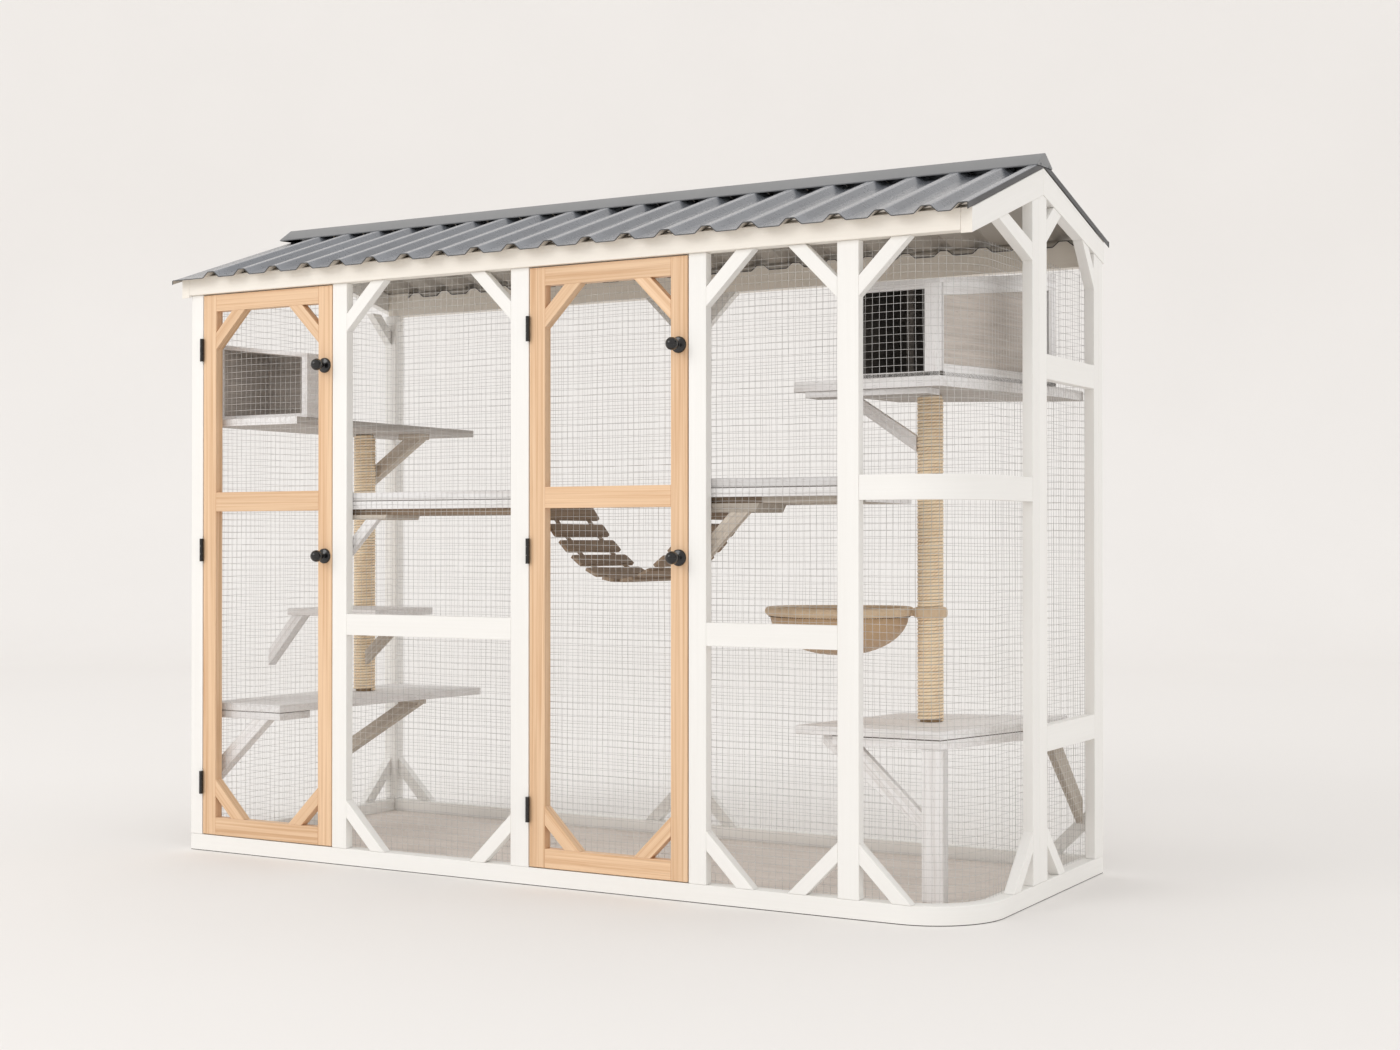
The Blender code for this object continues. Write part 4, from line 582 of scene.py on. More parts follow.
# Posts and framed panels
post_edge = 0.0018
post = timber("corner_post_front_left", "post_front_left")
post.block((0.0, 0.0455), (0.0, POST_D), (LOW, HIGH), Z, post_edge).done()
for name, node, a, b, sides in (
        ("frame_front_left", "panel_front_left", P1, P2, ((P1[1], 1), (P2[0], -1))),
        ("frame_front_right", "panel_front_right", P3, P4, ((P3[1], 1), (P4[0], -1), (P4[1], 1)))):
    piece = timber(name, node)
    piece.block(a, FRONT, (LOW, HIGH), Z)
    piece.block(b, FRONT, (LOW, HIGH), Z)
    piece.block((a[1], b[0]), FRONT, MID_RAIL, X)
    braces(piece, LOW, HIGH, sides)
    piece.done()
rail = timber("bent_corner_rail", "rail_corner")
rail.board(round_band(FRAME_T, P4[1] + GAP, P5[0] - GAP), 2, *BENT_RAIL, bent_grain).done()

piece = timber("frame_right_end", "panel_right_end")
ends, back = (END_X, LENGTH), (WIDTH - FRAME_T, WIDTH)
for a, b, *peak in ((P5[0], P5_JOINT), (P5_JOINT, P5[1], CENTRE_Y), (P6[0], P6_JOINT), (P6_JOINT, P6[1])):
    piece.board([(a, LOW), (b, LOW)] + [(y, under(y)) for y in (b, *peak[::-1], a)], 0, *ends, Z)
for z in END_RAILS:
    piece.block(ends, (P5[1], P6[0]), z, Y)
brace(piece, P5[0], LOW, -1, 1, 0, ends)
brace(piece, P5[1], LOW, 1, 1, 0, ends)
for y, s, near, far, down_near, down_far in (
        (P5[0], -1, 0.170, 0.233, 0.106, 0.152), (P5[1], 1, 0.055, 0.112, 0.055, 0.112),
        (P6[0], -1, 0.045, 0.098, 0.045, 0.098)):
    tops = [(y + s * reach, under(y + s * reach)) for reach in (far, near)]
    piece.board([(y, under(y) - down_far), *tops, (y, under(y) - down_near)], 0, *ends, (0, s * far, down_far))
brace(piece, END_X, LOW, -1, 1, 1, back)
piece.done()

piece = timber("frame_rear_left", "post_rear_left")
piece.block((0.0, POST_D), (WIDTH - POST_D, WIDTH), (LOW, REAR_HIGH), Z, post_edge)
brace(piece, POST_D, LOW, 1, 1, 1, back)
brace(piece, WIDTH - POST_D, LOW, -1, 1, 0, FRONT)
brace(piece, WIDTH - POST_D, REAR_HIGH, -1, -1, 0, FRONT, (0.055, 0.100))
piece.done()
piece = timber("frame_rear_middle", "post_rear_mid")
piece.block(REAR_POST, back, (LOW, REAR_HIGH), Z)
braces(piece, LOW, REAR_HIGH, ((REAR_POST[0], -1), (REAR_POST[1], 1)), back)
piece.done()

# Eaves, gables and ridge
for name, node, y0, y1, z in (("eave_board_front", "eave_beam_front", -EAVE, 0.028, 1.6625),
                              ("eave_board_rear", "eave_beam_rear", 0.928, WIDTH + EAVE, 1.691)):
    pts = [(y0, z), (y1, z), (y1, rake_top(y1) - GAP), (y0, rake_top(y0) - GAP)]
    timber(name, node, FASCIA).board(pts, 0, 0.0, END_X - GAP, X).done()
for name, node, x in (("rake_boards_right", "gable_boards_right", (END_X, LENGTH + 0.002)),
                      ("rake_boards_left", "gable_boards_left", (-GAP - FRAME_T, -GAP))):
    piece = timber(name, node, [WHITE, FASCIA])
    for y0, y1 in ((-EAVE, CENTRE_Y), (CENTRE_Y, WIDTH + EAVE)):
        pts = [(y0, rake_low(y0)), (y1, rake_low(y1)), (y1, rake_top(y1) - GAP), (y0, rake_top(y0) - GAP)]
        piece.board(pts, 0, *x, (0, y1 - y0, rake_low(y1) - rake_low(y0)))
    refinish(piece.done(), (0, -1, 0), 1)
piece = timber("ridge_board", "ridge_beam", FASCIA)
piece.block((0.0, END_X - GAP), (CENTRE_Y - 0.018, CENTRE_Y + 0.018), (APEX - 0.074, APEX - 0.014), X).done()


# Ribbed roof
def sheet_line():
    """The section of the ribbed sheet, from its left edge to the half rib over the right gable."""
    left, right = -0.035, LENGTH + 0.004
    foot, crest = 0.031, 0.012  # half widths of a rib
    pts = [(left, -0.012), (left, 0.0)]
    for i in range(20):
        c = 0.119 + i * RIB_PITCH
        pts += [(c - foot, 0.0), (c - crest, RIB_H), (c + crest, RIB_H), (c + foot, 0.0)]
    pts += [(right - foot - crest, 0.0), (right - 2 * crest, RIB_H), (right, RIB_H), (right, 0.0)]
    return rounded_line(pts, 0.0032)


def hem(points):
    """A thin bead along the edge of a sheet."""
    return tube(points, 0.0013, 6, Y)


def roof_sheet(name, node, y_ridge, y_eave):
    line = sheet_line()
    count, rows = len(line), 8
    lows = []
    for i, (x, h) in enumerate(line):
        a, b = line[max(i - 1, 0)], line[min(i + 1, count - 1)]
        d = Vector((b[0] - a[0], b[1] - a[1])).normalized()
        lows.append((x + d.y * SHEET_T, h - d.x * SHEET_T))
    bm = bmesh.new()
    tops, unders = [], []
    for t in shares(rows):
        y = y_ridge + (y_eave - y_ridge) * t
        base = rake_top(y) + SHEET_LIFT
        for grid, section in ((tops, line), (unders, lows)):
            grid.append([bm.verts.new((x, y, base + h)) for x, h in section])
    for k in range(rows):
        for i in range(count - 1):
            bm.faces.new((tops[k][i], tops[k][i + 1], tops[k + 1][i + 1], tops[k + 1][i]))
            bm.faces.new((unders[k][i], unders[k + 1][i], unders[k + 1][i + 1], unders[k][i + 1])).material_index = 1
        for i in (0, count - 1):
            bm.faces.new((tops[k][i], tops[k + 1][i], unders[k + 1][i], unders[k][i])).material_index = 2
    for k in (0, rows):
        for i in range(count - 1):
            bm.faces.new((tops[k][i], unders[k][i], unders[k][i + 1], tops[k][i + 1])).material_index = 2
    for f in outward(bm).faces:
        if f.normal.x > 0.8 and f.material_index == 0:
            f.material_index = 2
    # Painted highlights along the rib crests and the edges of the sheet.
    worn = set(tops[0] + tops[-1] + unders[-1])
    worn |= {v for row in tops for v, (x, h) in zip(row, line) if h > 0.0150}
    piece = Piece(name, [node], "roof_metal", [SHEET, SHEET_BACK, RIM])
    piece.add(bm, X, 0.0, None, worn)
    base = rake_top(y_eave) + SHEET_LIFT - 0.0004
    piece.add(hem([(x, y_eave, base + h) for x, h in line]), X, 0.0, 2).done(False, 50)


roof_sheet("roof_front", "roof_sheet_front", CENTRE_Y - 0.003, -0.045)
roof_sheet("roof_rear", "roof_sheet_rear", CENTRE_Y + 0.003, WIDTH + 0.045)

# Waved strip that shows the ribs above the rear eave board from inside
y, top = 0.9279, rake_top(0.928) - GAP
wave = [(x, top - 0.0170 + 0.0155 * max(h, 0.0) / RIB_H) for x, h in sheet_line() if 0.001 < x < END_X - 0.001]
bm = bmesh.new()
rings = [[bm.verts.new(p) for p in ((x, y - 0.0012, z), (x, y - 0.0012, top), (x, y, top), (x, y, z))] for x, z in wave]
piece = Piece("eave_closure_rear", [], "roof_metal", [SHEET_BACK, RIM])
piece.add(skin(bm, rings, caps=True), X, 0.0)
piece.add(hem([(x, y - 0.0014, z) for x, z in wave]), X, 0.0, 1).done(False)

# Ridge capping, closed at the right by a plate with two screws
rib_top = SHEET_LIFT + RIB_H + GAP
front, rear = CENTRE_Y - 0.055, CENTRE_Y + 0.055
z_front, z_rear = rake_top(front) + rib_top, rake_top(rear) + rib_top
line = rounded_line([(front + 0.0012, z_front), (front, z_front + 0.0025), (CENTRE_Y, APEX + rib_top + 0.021),
                     (rear, z_rear + 0.0025), (rear - 0.0012, z_rear)], 0.006, 4)
plate_x, plate_t = LENGTH + 0.0043, 0.0013
centre = Vector((CENTRE_Y, z_front - 0.12))
bm = bmesh.new()
rings = []
for x in (-0.034, 0.8, 1.6, plate_x + 0.0004):
    upper, lower = [], []
    for p in line:
        lean = (Vector(p) - centre).normalized() * 0.001
        upper.append(bm.verts.new((x, *p)))
        lower.append(bm.verts.new((x, p[0] - lean.x, p[1] - lean.y)))
    rings.append(upper + lower[::-1])
piece = Piece("ridge_capping", ["ridge_cap"], "cap_metal", CAP)
piece.add(skin(bm, rings, caps=True), X, 0.0)
piece.add(prism(line, 0, plate_x, plate_x + plate_t), X, 0.0)
# Radius and height of a screw's head
head = [(0.0, 0.0024), (0.0016, 0.0022), (0.0031, 0.0012), (0.0034, 0.0), (0.0034, -0.0005)]
for y in (CENTRE_Y - 0.030, CENTRE_Y + 0.030):
    bm = lathe(head, 14, (0, 0, 0))
    on_plate = Matrix.Translation((plate_x + plate_t, y, z_front + 0.006)) @ Matrix.Rotation(math.pi / 2, 4, "Y")
    bm.transform(on_plate)
    piece.add(bm, X, 0.0)
piece.done(False, 40)

# Doors, knobs and hinges
DOORS = (("left", 0.0485, 0.5445), ("right", 1.234, 1.726))
DOOR_LOW, DOOR_HIGH, STILE, KNOB_R = 0.0505, 1.6595, 0.050, 0.017
# Radius and depth of the knob's neck, plate and spindle
NECK = [(0.0064, -0.0195), (0.0060, -0.0150), (0.0066, -0.0105), (0.0095, -0.0085), (0.0180, -0.0074),
        (0.0205, -0.0062), (0.0215, -0.0042), (0.0215, -0.0003), (0.0045, -0.0003), (0.0045, 0.0320)]
for tag, x0, x1 in DOORS:
    body = "door_" + tag
    piece = Piece("door_frame_" + tag, [body], "door_wood", PINE, body)
    a, b = x0 + STILE, x1 - STILE
    piece.block((x0, a), FRONT, (DOOR_LOW, DOOR_HIGH), Z, SOFT)
    piece.block((b, x1), FRONT, (DOOR_LOW, DOOR_HIGH), Z, SOFT)
    for z in ((DOOR_LOW, 0.102), (1.013, 1.070), (1.610, DOOR_HIGH)):
        piece.block((a, b), FRONT, z, X, 0.0011)
    braces(piece, 0.102, 1.610, ((a, 1), (b, -1)), reach=(0.063, 0.113))
    piece.done()
    for row, z in (("upper", 1.430), ("lower", 0.882)):
        name, x = "knob_" + tag + "_" + row, x1 - STILE / 2
        ball = [(KNOB_R * math.sin(math.pi * i / 22), -0.036 - KNOB_R * math.cos(math.pi * i / 22)) for i in range(20)]
        piece = Piece(name + "_turned", [name], "black_metal", BLACK, name)
        piece.add(lathe(ball + NECK, 40, (x, 0.0, z), 1), Y, 0.0)
        tongue = rect((x - 0.008, x + 0.008), (z - 0.008, z + 0.044))
        piece.board(tongue, 1, 0.0283, 0.0323, Z, 0.0008, 0.0).done(False, 45)
for node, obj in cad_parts.items():
    if node.startswith("hinge_leaf"):
        obj.data.materials.clear()
        obj.data.materials.append(BLACK)
        trim = obj.modifiers.new("edges", "BEVEL")
        trim.width, trim.segments, trim.limit_method, trim.angle_limit = 0.0004, 2, "ANGLE", math.radians(50)


# Wire nets
def along(path, s):
    """Point, direction and inward normal at a distance along a plan line."""
    for a, b in zip(path, path[1:]):
        seg = math.dist(a, b)
        if s <= seg or b == path[-1]:
            d = ((b[0] - a[0]) / seg, (b[1] - a[1]) / seg)
            return (a[0] + d[0] * s, a[1] + d[1] * s), d, (-d[1], d[0])
        s -= seg


def net(name, node, path, z0, z1, body="frame"):
    """Welded mesh drawn wire by wire; the line is its outer face, and the wires are a little out of true."""
    total, tall = sum(math.dist(a, b) for a, b in zip(path, path[1:])), z1 - z0
    lot = random.Random(name)
    f = [lot.uniform(0, 6.28) for _ in range(4)]
    verts, faces = [], []

    def sway(s, z):
        """How far the wires lie off at a spot, along the sheet and upwards."""
        return (0.0011 * math.sin(13.4 * s + 7.0 * z + f[0]) + 0.0007 * math.sin(20.3 * z - 7.9 * s + f[1]),
                0.0011 * math.sin(13.0 * z - 6.4 * s + f[2]) + 0.0008 * math.sin(24.0 * s + 5.0 * z + f[3]))

    def wire(spots, depth, upright):
        """A four-sided wire through spots at a distance along the sheet and a height."""
        base, n = len(verts), len(spots)
        for s, z in spots:
            p, d, inward = along(path, s)
            spot = (p[0] + inward[0] * depth - CENTRE_X, p[1] + inward[1] * depth - CENTRE_Y, z)
            sides = ((*d, 0) if upright else Z, (*inward, 0))
            for side, sign in ((0, 1), (1, 1), (0, -1), (1, -1)):
                verts.append(tuple(c + q * sign * WIRE_R for c, q in zip(spot, sides[side])))
        for q in range(base, base + 4 * n - 4, 4):
            for k in range(4):
                faces.append((q + k, q + (k + 1) % 4, q + 4 + (k + 1) % 4, q + 4 + k))
        last = base + 4 * n - 4
        faces.append((base + 3, base + 2, base + 1, base))
        faces.append((last, last + 1, last + 2, last + 3))

    def places(reach):
        """Even places for the wires, with the rest shared between both edges."""
        count = int((reach - 2 * WIRE_R) / WIRE_PITCH)
        return [(reach - count * WIRE_PITCH) / 2 + i * WIRE_PITCH for i in range(count + 1)]

    bends = round(tall / 0.055)
    for s in places(total):
        stops = [z0 + tall * t for t in shares(bends)]
        wire([(min(max(s + sway(s, z)[0], WIRE_R), total - WIRE_R), z) for z in stops], 0.00070, True)
    marks, s = {0.0, total}, 0.0
    for a, b in zip(path, path[1:]):
        s += math.dist(a, b)
        marks.add(min(s, total))
    bends = round(total / 0.055)
    marks = sorted(marks | {total * i / bends for i in range(bends + 1)})
    marks = [m for i, m in enumerate(marks) if i == 0 or m - marks[i - 1] > 0.004]
    for z in places(tall):
        wire([(s, min(max(z0 + z + sway(s, z0 + z)[1], z0 + WIRE_R), z1 - WIRE_R)) for s in marks], 0.00132, False)
    mesh = bpy.data.meshes.new(name)
    mesh.from_pydata(verts, [], faces)
    mesh.materials.append(ZINC)
    mesh.shade_smooth()
    place(name, mesh, body, [node])


lap = 0.010  # of a net over the frame behind which it is stapled
for side, path, high in (
        ("front_left", [(P1[1] - lap, NET_Y), (P2[0] + lap, NET_Y)], NET_HIGH),
        ("front_right", round_path(NET_Y, P3[1] - lap, P5[0] + lap, 20), NET_HIGH),
        ("right_end", [(LENGTH - NET_Y, P5[1] - lap), (LENGTH - NET_Y, P6[0] + lap)], NET_HIGH),
        ("rear", [(END_X - 0.002, WIDTH - NET_Y), (0.0453, WIDTH - NET_Y)], 1.689),
        ("left_end", [(NET_Y, WALL_Y1), (NET_Y, WALL_Y0)], NET_HIGH)):
    net("mesh_" + side, "net_" + side, path, NET_LOW, high)
for tag, x0, x1 in DOORS:
    net("mesh_door_" + tag, "net_door_" + tag, [(x0 + 0.040, NET_Y), (x1 - 0.040, NET_Y)], 0.092, 1.620, "door_" + tag)


# Furniture on the left
def furniture(name, node, *others):
    return Piece(name, [node], "washed_wood", [WASH, *others])


def slant(piece, x0, z0, x1, z1, width, y0, y1, index=0):
    """A diagonal brace from a post face at x0 up to a level cut at z1."""
    run, rise = x1 - x0, z1 - z0
    reach = math.hypot(run, rise)
    across, tall = width * reach / abs(rise), width * reach / abs(run)
    pts = [(x0, z0), (x0, z0 + tall), (x1 - math.copysign(across, run), z1), (x1, z1)]
    piece.board(pts, 1, y0, y1, (run, 0, rise), BEVEL, None, index)


def rear_knee(piece, cleat_end, low, x0, z0, x1):
    """A cleat below the rear of a left shelf and the diagonal that carries it."""
    cleat, y = low - 0.018, 0.655
    piece.block((0.262, cleat_end), (y, y + 0.045), (cleat, low), X, BEVEL, None, 1)
    slant(piece, x0, z0, x1, cleat, 0.040, y, y + 0.035, 1)


def left_outline(x_front, x_rear):
    return [(WALL_X, WALL_Y0), (x_front, WALL_Y0), (x_rear, WALL_Y1), (WALL_X, WALL_Y1)]


def shadow(piece, outline, low):
    """A dark line let into the joint below a shelf."""
    piece.board(outline, 2, low - 0.0022, low + 0.0012, X, FINE, 0.0, 2)


low = LOW_LEFT - BOARD_T
near, far, tier_d = 0.310, 0.404, 0.140  # reach of the shelf at its front and rear, and depth of its tier
y0, y1 = WALL_Y0 + INSET, WALL_Y0 + tier_d
piece = furniture("shelf_low_left", "platform_lower_left", BRACKET, JOINT, PAINTED_SHADE_WOOD)
piece.board(left_outline(near, far), 2, low, LOW_LEFT, Y, SOFT)
bend = near + (far - near) / (WALL_Y1 - WALL_Y0) * tier_d
tier = [(0.0458, y0), (near - INSET, y0), (bend - 0.012, y1 - 0.012), (bend - 0.024, y1), (0.0458, y1)]
piece.board(tier, 2, low - TIER_T, low, X)
shadow(piece, [(p[0] + 0.0008 * (p[0] > 0.1), p[1] - 0.0008 * (p[1] < 0.1)) for p in tier], low)
slant(piece, WALL_X, 0.185, 0.262, low - TIER_T, 0.040, y0, y0 + 0.035)
rear_knee(piece, 0.3415, low, WALL_X, 0.215, 0.340)
# Undersides take the darker wash: painted shade.
refinish(piece.done(), DOWN, 3)
low = HIGH_LEFT - BOARD_T
piece = furniture("shelf_high_left", "platform_upper_left", BRACKET, PAINTED_SHADE_WOOD)
piece.board(left_outline(HIGH_REACH, HIGH_REACH), 2, low, HIGH_LEFT, Y, SOFT)
rear_knee(piece, 0.3535, low, 0.130, 1.100, 0.352)
obj = piece.done()
# Undersides and the right side take the darker wash: painted shade.
refinish(obj, DOWN, 2)
refinish(obj, X, 2)
low = STEP - BOARD_T
y1 = POST_LEFT[1] - POST_R - GAP
piece = furniture("step_board", "step_shelf", BRACKET, PAINTED_SHADE_WOOD)
piece.block((0.109, 0.460), (0.300, y1), (low, STEP), X, SOFT)
slant(piece, WALL_X, 0.535, 0.172, low, 0.034, 0.3015, 0.3365)
slant(piece, 0.205, 0.530, 0.392, low, 0.034, y1 - 0.0215, y1 - INSET, 1)
# Undersides take the darker wash: painted shade.
refinish(piece.done(), DOWN, 2)

# Left house: open at the front, with a roof that falls to the right
x0, x1, z0 = WALL_X + 0.002, HIGH_REACH, HIGH_LEFT + GAP
a, b, floor_z = x0 + HOUSE_T, x1 - 0.022, z0 + HOUSE_T
y0, y1 = 0.090, 0.295
whole, room, back = (y0, y1), (y0 + 0.004, y1 - HOUSE_T), (y1 - HOUSE_T, y1)


def roof_left(drop=0.0):
    """The height of the roof's top, less a drop, as a function of x."""
    return lambda x: 1.520 + (1.480 - 1.520) / (x1 - x0) * (x - x0) - drop


piece = furniture("house_left", "cat_house_left", PANEL, INSIDE_SHADE, SHADED)
wall_top = roof_left(HOUSE_T)
for lo, hi, bottom, top, deep, grain, edge, index in (
        (x0, a, z0, wall_top, whole, Y, THIN, 0), (b, x1, z0, wall_top, whole, Y, THIN, 0),
        (x0, x1, wall_top, roof_left(), whole, X, THIN, 0), (a, b, z0, floor_z, whole, X, THIN, 0),
        # The back wall and thin liners on the left wall and under the roof take SHADED: painted shade.
        (a, b, floor_z, wall_top, back, X, THIN, 3),
        (a, a + 0.0012, floor_z, roof_left(HOUSE_T + 0.0005)(a), room, Y, FINE, 3),
        (a, b, roof_left(HOUSE_T + 0.0015), roof_left(HOUSE_T - 0.0002), room, X, FINE, 3)):
    pts = [(lo, at(bottom, lo)), (hi, at(bottom, hi)), (hi, at(top, hi)), (lo, at(top, lo))]
    piece.board(pts, 1, *deep, grain, edge, None, index)
piece.done()


# Scratch posts
def scratch_post(name, node, centre, z0, z1):
    """A core with rope wound close round it, each turn pressed a little into the next."""
    cx, cy = centre
    thick = 1.18 * ROPE_R
    reach = POST_R - thick
    rounds = round((z1 - z0 - 2 * thick) / (2 * ROPE_R))
    pitch = (z1 - z0 - 2 * thick) / rounds
    steps, sides = 24, 9
    lot = random.Random(name)
    pts, s = [], [0.0]
    for i in range(rounds * steps + 1):
        a = 2 * math.pi * i / steps
        r = reach + 0.00018 * math.sin(a * 0.37 + 1.0) + lot.uniform(-0.00010, 0.00010)
        wander = 0.00022 * math.sin(a * 0.113) + 0.00014 * math.sin(a * 0.531 + 2.0)
        pts.append(Vector((cx + r * math.cos(a), cy + r * math.sin(a), z0 + thick + pitch * i / steps + wander)))
        if i:
            s.append(s[-1] + (pts[-1] - pts[-2]).length)
    pts[0].z, pts[-1].z = z0 + thick, z1 - thick
    bm = tube(pts, thick * 0.985, sides, lambda p: (cx - p.x, cy - p.y, 0.0))
    where = {tuple(v.co): (s[i // sides], 2 * math.pi * (i % sides) / sides, 0.0) for i, v in enumerate(bm.verts)}
    piece = Piece(name, [node], "sisal_rope", [SISAL, CORE])
    piece.add(bm, lambda p: where[tuple(p)], 0.0)
    piece.grain = [g - piece.grain[0] for g in piece.grain]
    core = POST_R - 2 * ROPE_R + 0.0012
    piece.add(lathe([(0.0, z0), (core, z0), (core, z1), (0.0, z1)], 40, (cx, cy, 0.0)), Z, 0.0, 1).done(False)


scratch_post("scratching_post_left", "scratch_post_left", POST_LEFT, LOW_LEFT + GAP, HIGH_LEFT - BOARD_T - GAP)
scratch_post("scratching_post_right", "scratch_post_right", POST_RIGHT, LOW_RIGHT + GAP,
             HIGH_RIGHT - HIGH_RIGHT_T - GAP)


# Walkways
def walkway(side, x0, x1, top, lugs, turn, cleat, cleat_end, face, rise, width, tints, brace_index):
    """Two boards with a dark joint on a batten in dark slat colour up to the turn, painted shade, then bracket colour
    with a pale end; cleat and brace at the left.
    """
    piece = furniture("walkway_board_" + side, "walkway_" + side, BRACKET, JOINT, SLAT_AND_BATTEN_SHADE)
    y0, y1, joint = WALK_Y0, WALK_Y1, 0.0015
    mid = top - TIER_T
    low = mid - joint - TIER_T
    batten = low - 0.016
    piece.block((x0, x1), (y0, y1), (mid, top), X, SOFT, tints[0])
    piece.block((x0 + 0.001, x1 - 0.001), (y0 + 0.0008, y1 - 0.001), (mid - 0.0025, mid + 0.001), X, FINE, 0.0, 2)
    piece.block((x0, x1), (y0, y1), (low, mid - joint), X, SOFT, tints[1])
    # Up to the turn the batten takes the dark slat colour: painted shade.
    for lo, hi, tint, index in ((x0, turn, tints[2], 3), (turn + 0.0002, x1 - 0.0022, tints[2], 1),
                                (x1 - 0.002, x1, 0.0, 0)):
        piece.block((lo, hi), (y0 + 0.016, y1 - 0.016), (batten, low), X, 0.0004, tint, index)
    for lug in lugs:
        piece.block(lug, (FRAME_T + GAP, y0 + 0.002), (low, top), X, 0.0004)
    shelf = batten - cleat
    pts = [(face, shelf), (cleat_end - cleat / 2, shelf), (cleat_end, batten), (face, batten)]
    piece.board(pts, 1, y0 + INSET, y0 + 0.155, X, BEVEL, tints[2] - 2.0, 1)
    across = width * math.sqrt(2)
    pts = [(face, shelf - rise), (face, shelf - rise + across), (face + rise - across, shelf), (face + rise, shelf)]
    piece.board(pts, 1, y0 + INSET, y0 + 0.0215, (1, 0, 1), BEVEL, None, brace_index)
    piece.done()


BRIDGE = (P2[1] - lap, P3[0] + lap)
a, b = P1[0] + 0.002, BRIDGE[0]
walkway("left", a, b, WALK_LEFT, lugs=((a, a + 0.036), (b - 0.036, b)), turn=b - 0.010, cleat=0.0135,
        cleat_end=P1[0] + 0.172, face=P1[0] + 0.027, rise=0.112, width=0.031, tints=(-1.6, -0.8, 1.0), brace_index=0)
a, b = BRIDGE[1], P4[1] - 0.002
walkway("right", a, b, WALK_RIGHT, lugs=((a, P3[1] - 0.0103),), turn=P3[0] + 0.190, cleat=0.023,
        cleat_end=P3[0] + 0.1885, face=P3[0] + 0.0195, rise=0.138, width=0.039, tints=(-4.2, -1.2, -4.0), brace_index=1)

# Hanging bridge
SAG, DEEPEST, SLATS, END_GAP = 0.2059, WALK_LEFT - 0.2423, 12, 0.004
SLAT_W, SLAT_L, SLAT_T, STRAP_T = 0.020, 0.270, 0.0046, 0.0022  # half widths and thicknesses, whole length
x0, x1, y0 = BRIDGE[0] + GAP, BRIDGE[1] - GAP, WALK_Y0 + 0.020
mid, half_span = (x0 + x1) / 2, (x1 - x0) / 2


def bridge_z(x):
    return DEEPEST + SAG * ((x - mid) / half_span) ** 2


fine = [x0 + (x1 - x0) * t for t in shares(400)]
run = [0.0]
for a, b in zip(fine, fine[1:]):
    run.append(run[-1] + math.hypot(b - a, bridge_z(b) - bridge_z(a)))


def bridge_x(s):
    """Where along the bridge a distance along its curve lies."""
    for i in range(1, len(fine)):
        if run[i] >= s:
            t = (s - run[i - 1]) / (run[i] - run[i - 1])
            return fine[i - 1] + (fine[i] - fine[i - 1]) * t
    return x1


piece = Piece("slat_bridge", ["suspension_bridge"], "slat_wood", [SLAT_AND_BATTEN_SHADE, BRACKET])
pitch = (run[-1] - 2 * END_GAP) / SLATS
plan = rounded_line([(-0.013, 0), (-SLAT_W, 0), (-SLAT_W, SLAT_L), (SLAT_W, SLAT_L), (SLAT_W, 0), (-0.013, 0)],
                    0.0085, 4)
for k in range(SLATS):
    x = bridge_x(END_GAP + (k + 0.5) * pitch)
    slope = math.atan(2 * SAG * (x - mid) / half_span ** 2)
    bm = prism([(p[0], p[1] + y0) for p in plan[:-1]], 2, -SLAT_T, SLAT_T)
    worn = soften(bm, 0.0014, 0.6)
    tilt = random.uniform(-0.012, 0.012) - slope
    hung = Matrix.Translation((x, 0, bridge_z(x))) @ Matrix.Rotation(tilt, 4, "Y")
    bm.transform(hung)
    piece.add(bm, Y, None, 0, worn)
for edge in (y0 + 0.040, y0 + SLAT_L - 0.068):
    for k in range(SLATS + 1):
        s0 = 0.0 if k == 0 else END_GAP + k * pitch - 0.011
        s1 = run[-1] if k == SLATS else END_GAP + k * pitch + 0.011
        strap = [bridge_x(s0 + (s1 - s0) * t) for t in shares(4)]
        pts = [(x, bridge_z(x) + STRAP_T) for x in strap] + [(x, bridge_z(x) - STRAP_T) for x in strap[::-1]]
        piece.board(pts, 1, edge + 0.004, edge + 0.024, X, 0.0008, 0.4, 0)
piece.done()


# Furniture on the right
def from_right(*points):
    return [(LENGTH - a, b) for a, b in points]


LOW_PLAN = from_right((0.584, 0.216), (0.184, 0.236), (0.053, 0.716), (0.062, 0.840), (0.494, 0.675), (0.524, 0.510))
HIGH_PLAN = from_right((0.588, 0.214), (0.170, 0.200), (0.044, 0.720), (0.038, 0.905), (0.500, 0.690), (0.525, 0.510))
HOUSE_PLAN = from_right((0.440, 0.212), (0.172, 0.203), (0.049, 0.712), (0.440, 0.600))

low = LOW_RIGHT - BOARD_T
tier_z = low - 0.0245
piece = furniture("shelf_low_right", "platform_lower_right", BRACKET, JOINT, PAINTED_SHADE_WOOD)
piece.board(LOW_PLAN, 2, low, LOW_RIGHT, X, SOFT, 1.4)
first, corner, side = LOW_PLAN[:3]
tier_x = LENGTH - 0.48
lean = (corner[1] - first[1]) / (corner[0] - first[0])
tier = [(tier_x, first[1] + lean * (tier_x - first[0]) + INSET), (corner[0] - INSET, corner[1] + INSET),
        (side[0] - INSET, side[1]), (tier_x, 0.600)]
piece.board(tier, 2, tier_z, low, X, BEVEL, 1.4)
shadow(piece, [(p[0], p[1] - 0.0008 * (p[1] < 0.5)) for p in tier], low)
cleat = (LENGTH - 0.15, LENGTH - 0.0335)
piece.block(cleat, (0.6002, 0.735), (tier_z, low), Y, BEVEL, None, 1)
pts = [(0.608, tier_z), (0.690, tier_z), (P6[0] - GAP, 0.210), (P6[0] - GAP, 0.143)]
piece.board(pts, 0, cleat[1] - 0.020, cleat[1], (0, 0.2, -0.2), BEVEL, -3.0, 1)
leg_x, x0, x1 = LENGTH - 0.237, LENGTH - 0.516, LENGTH - 0.44
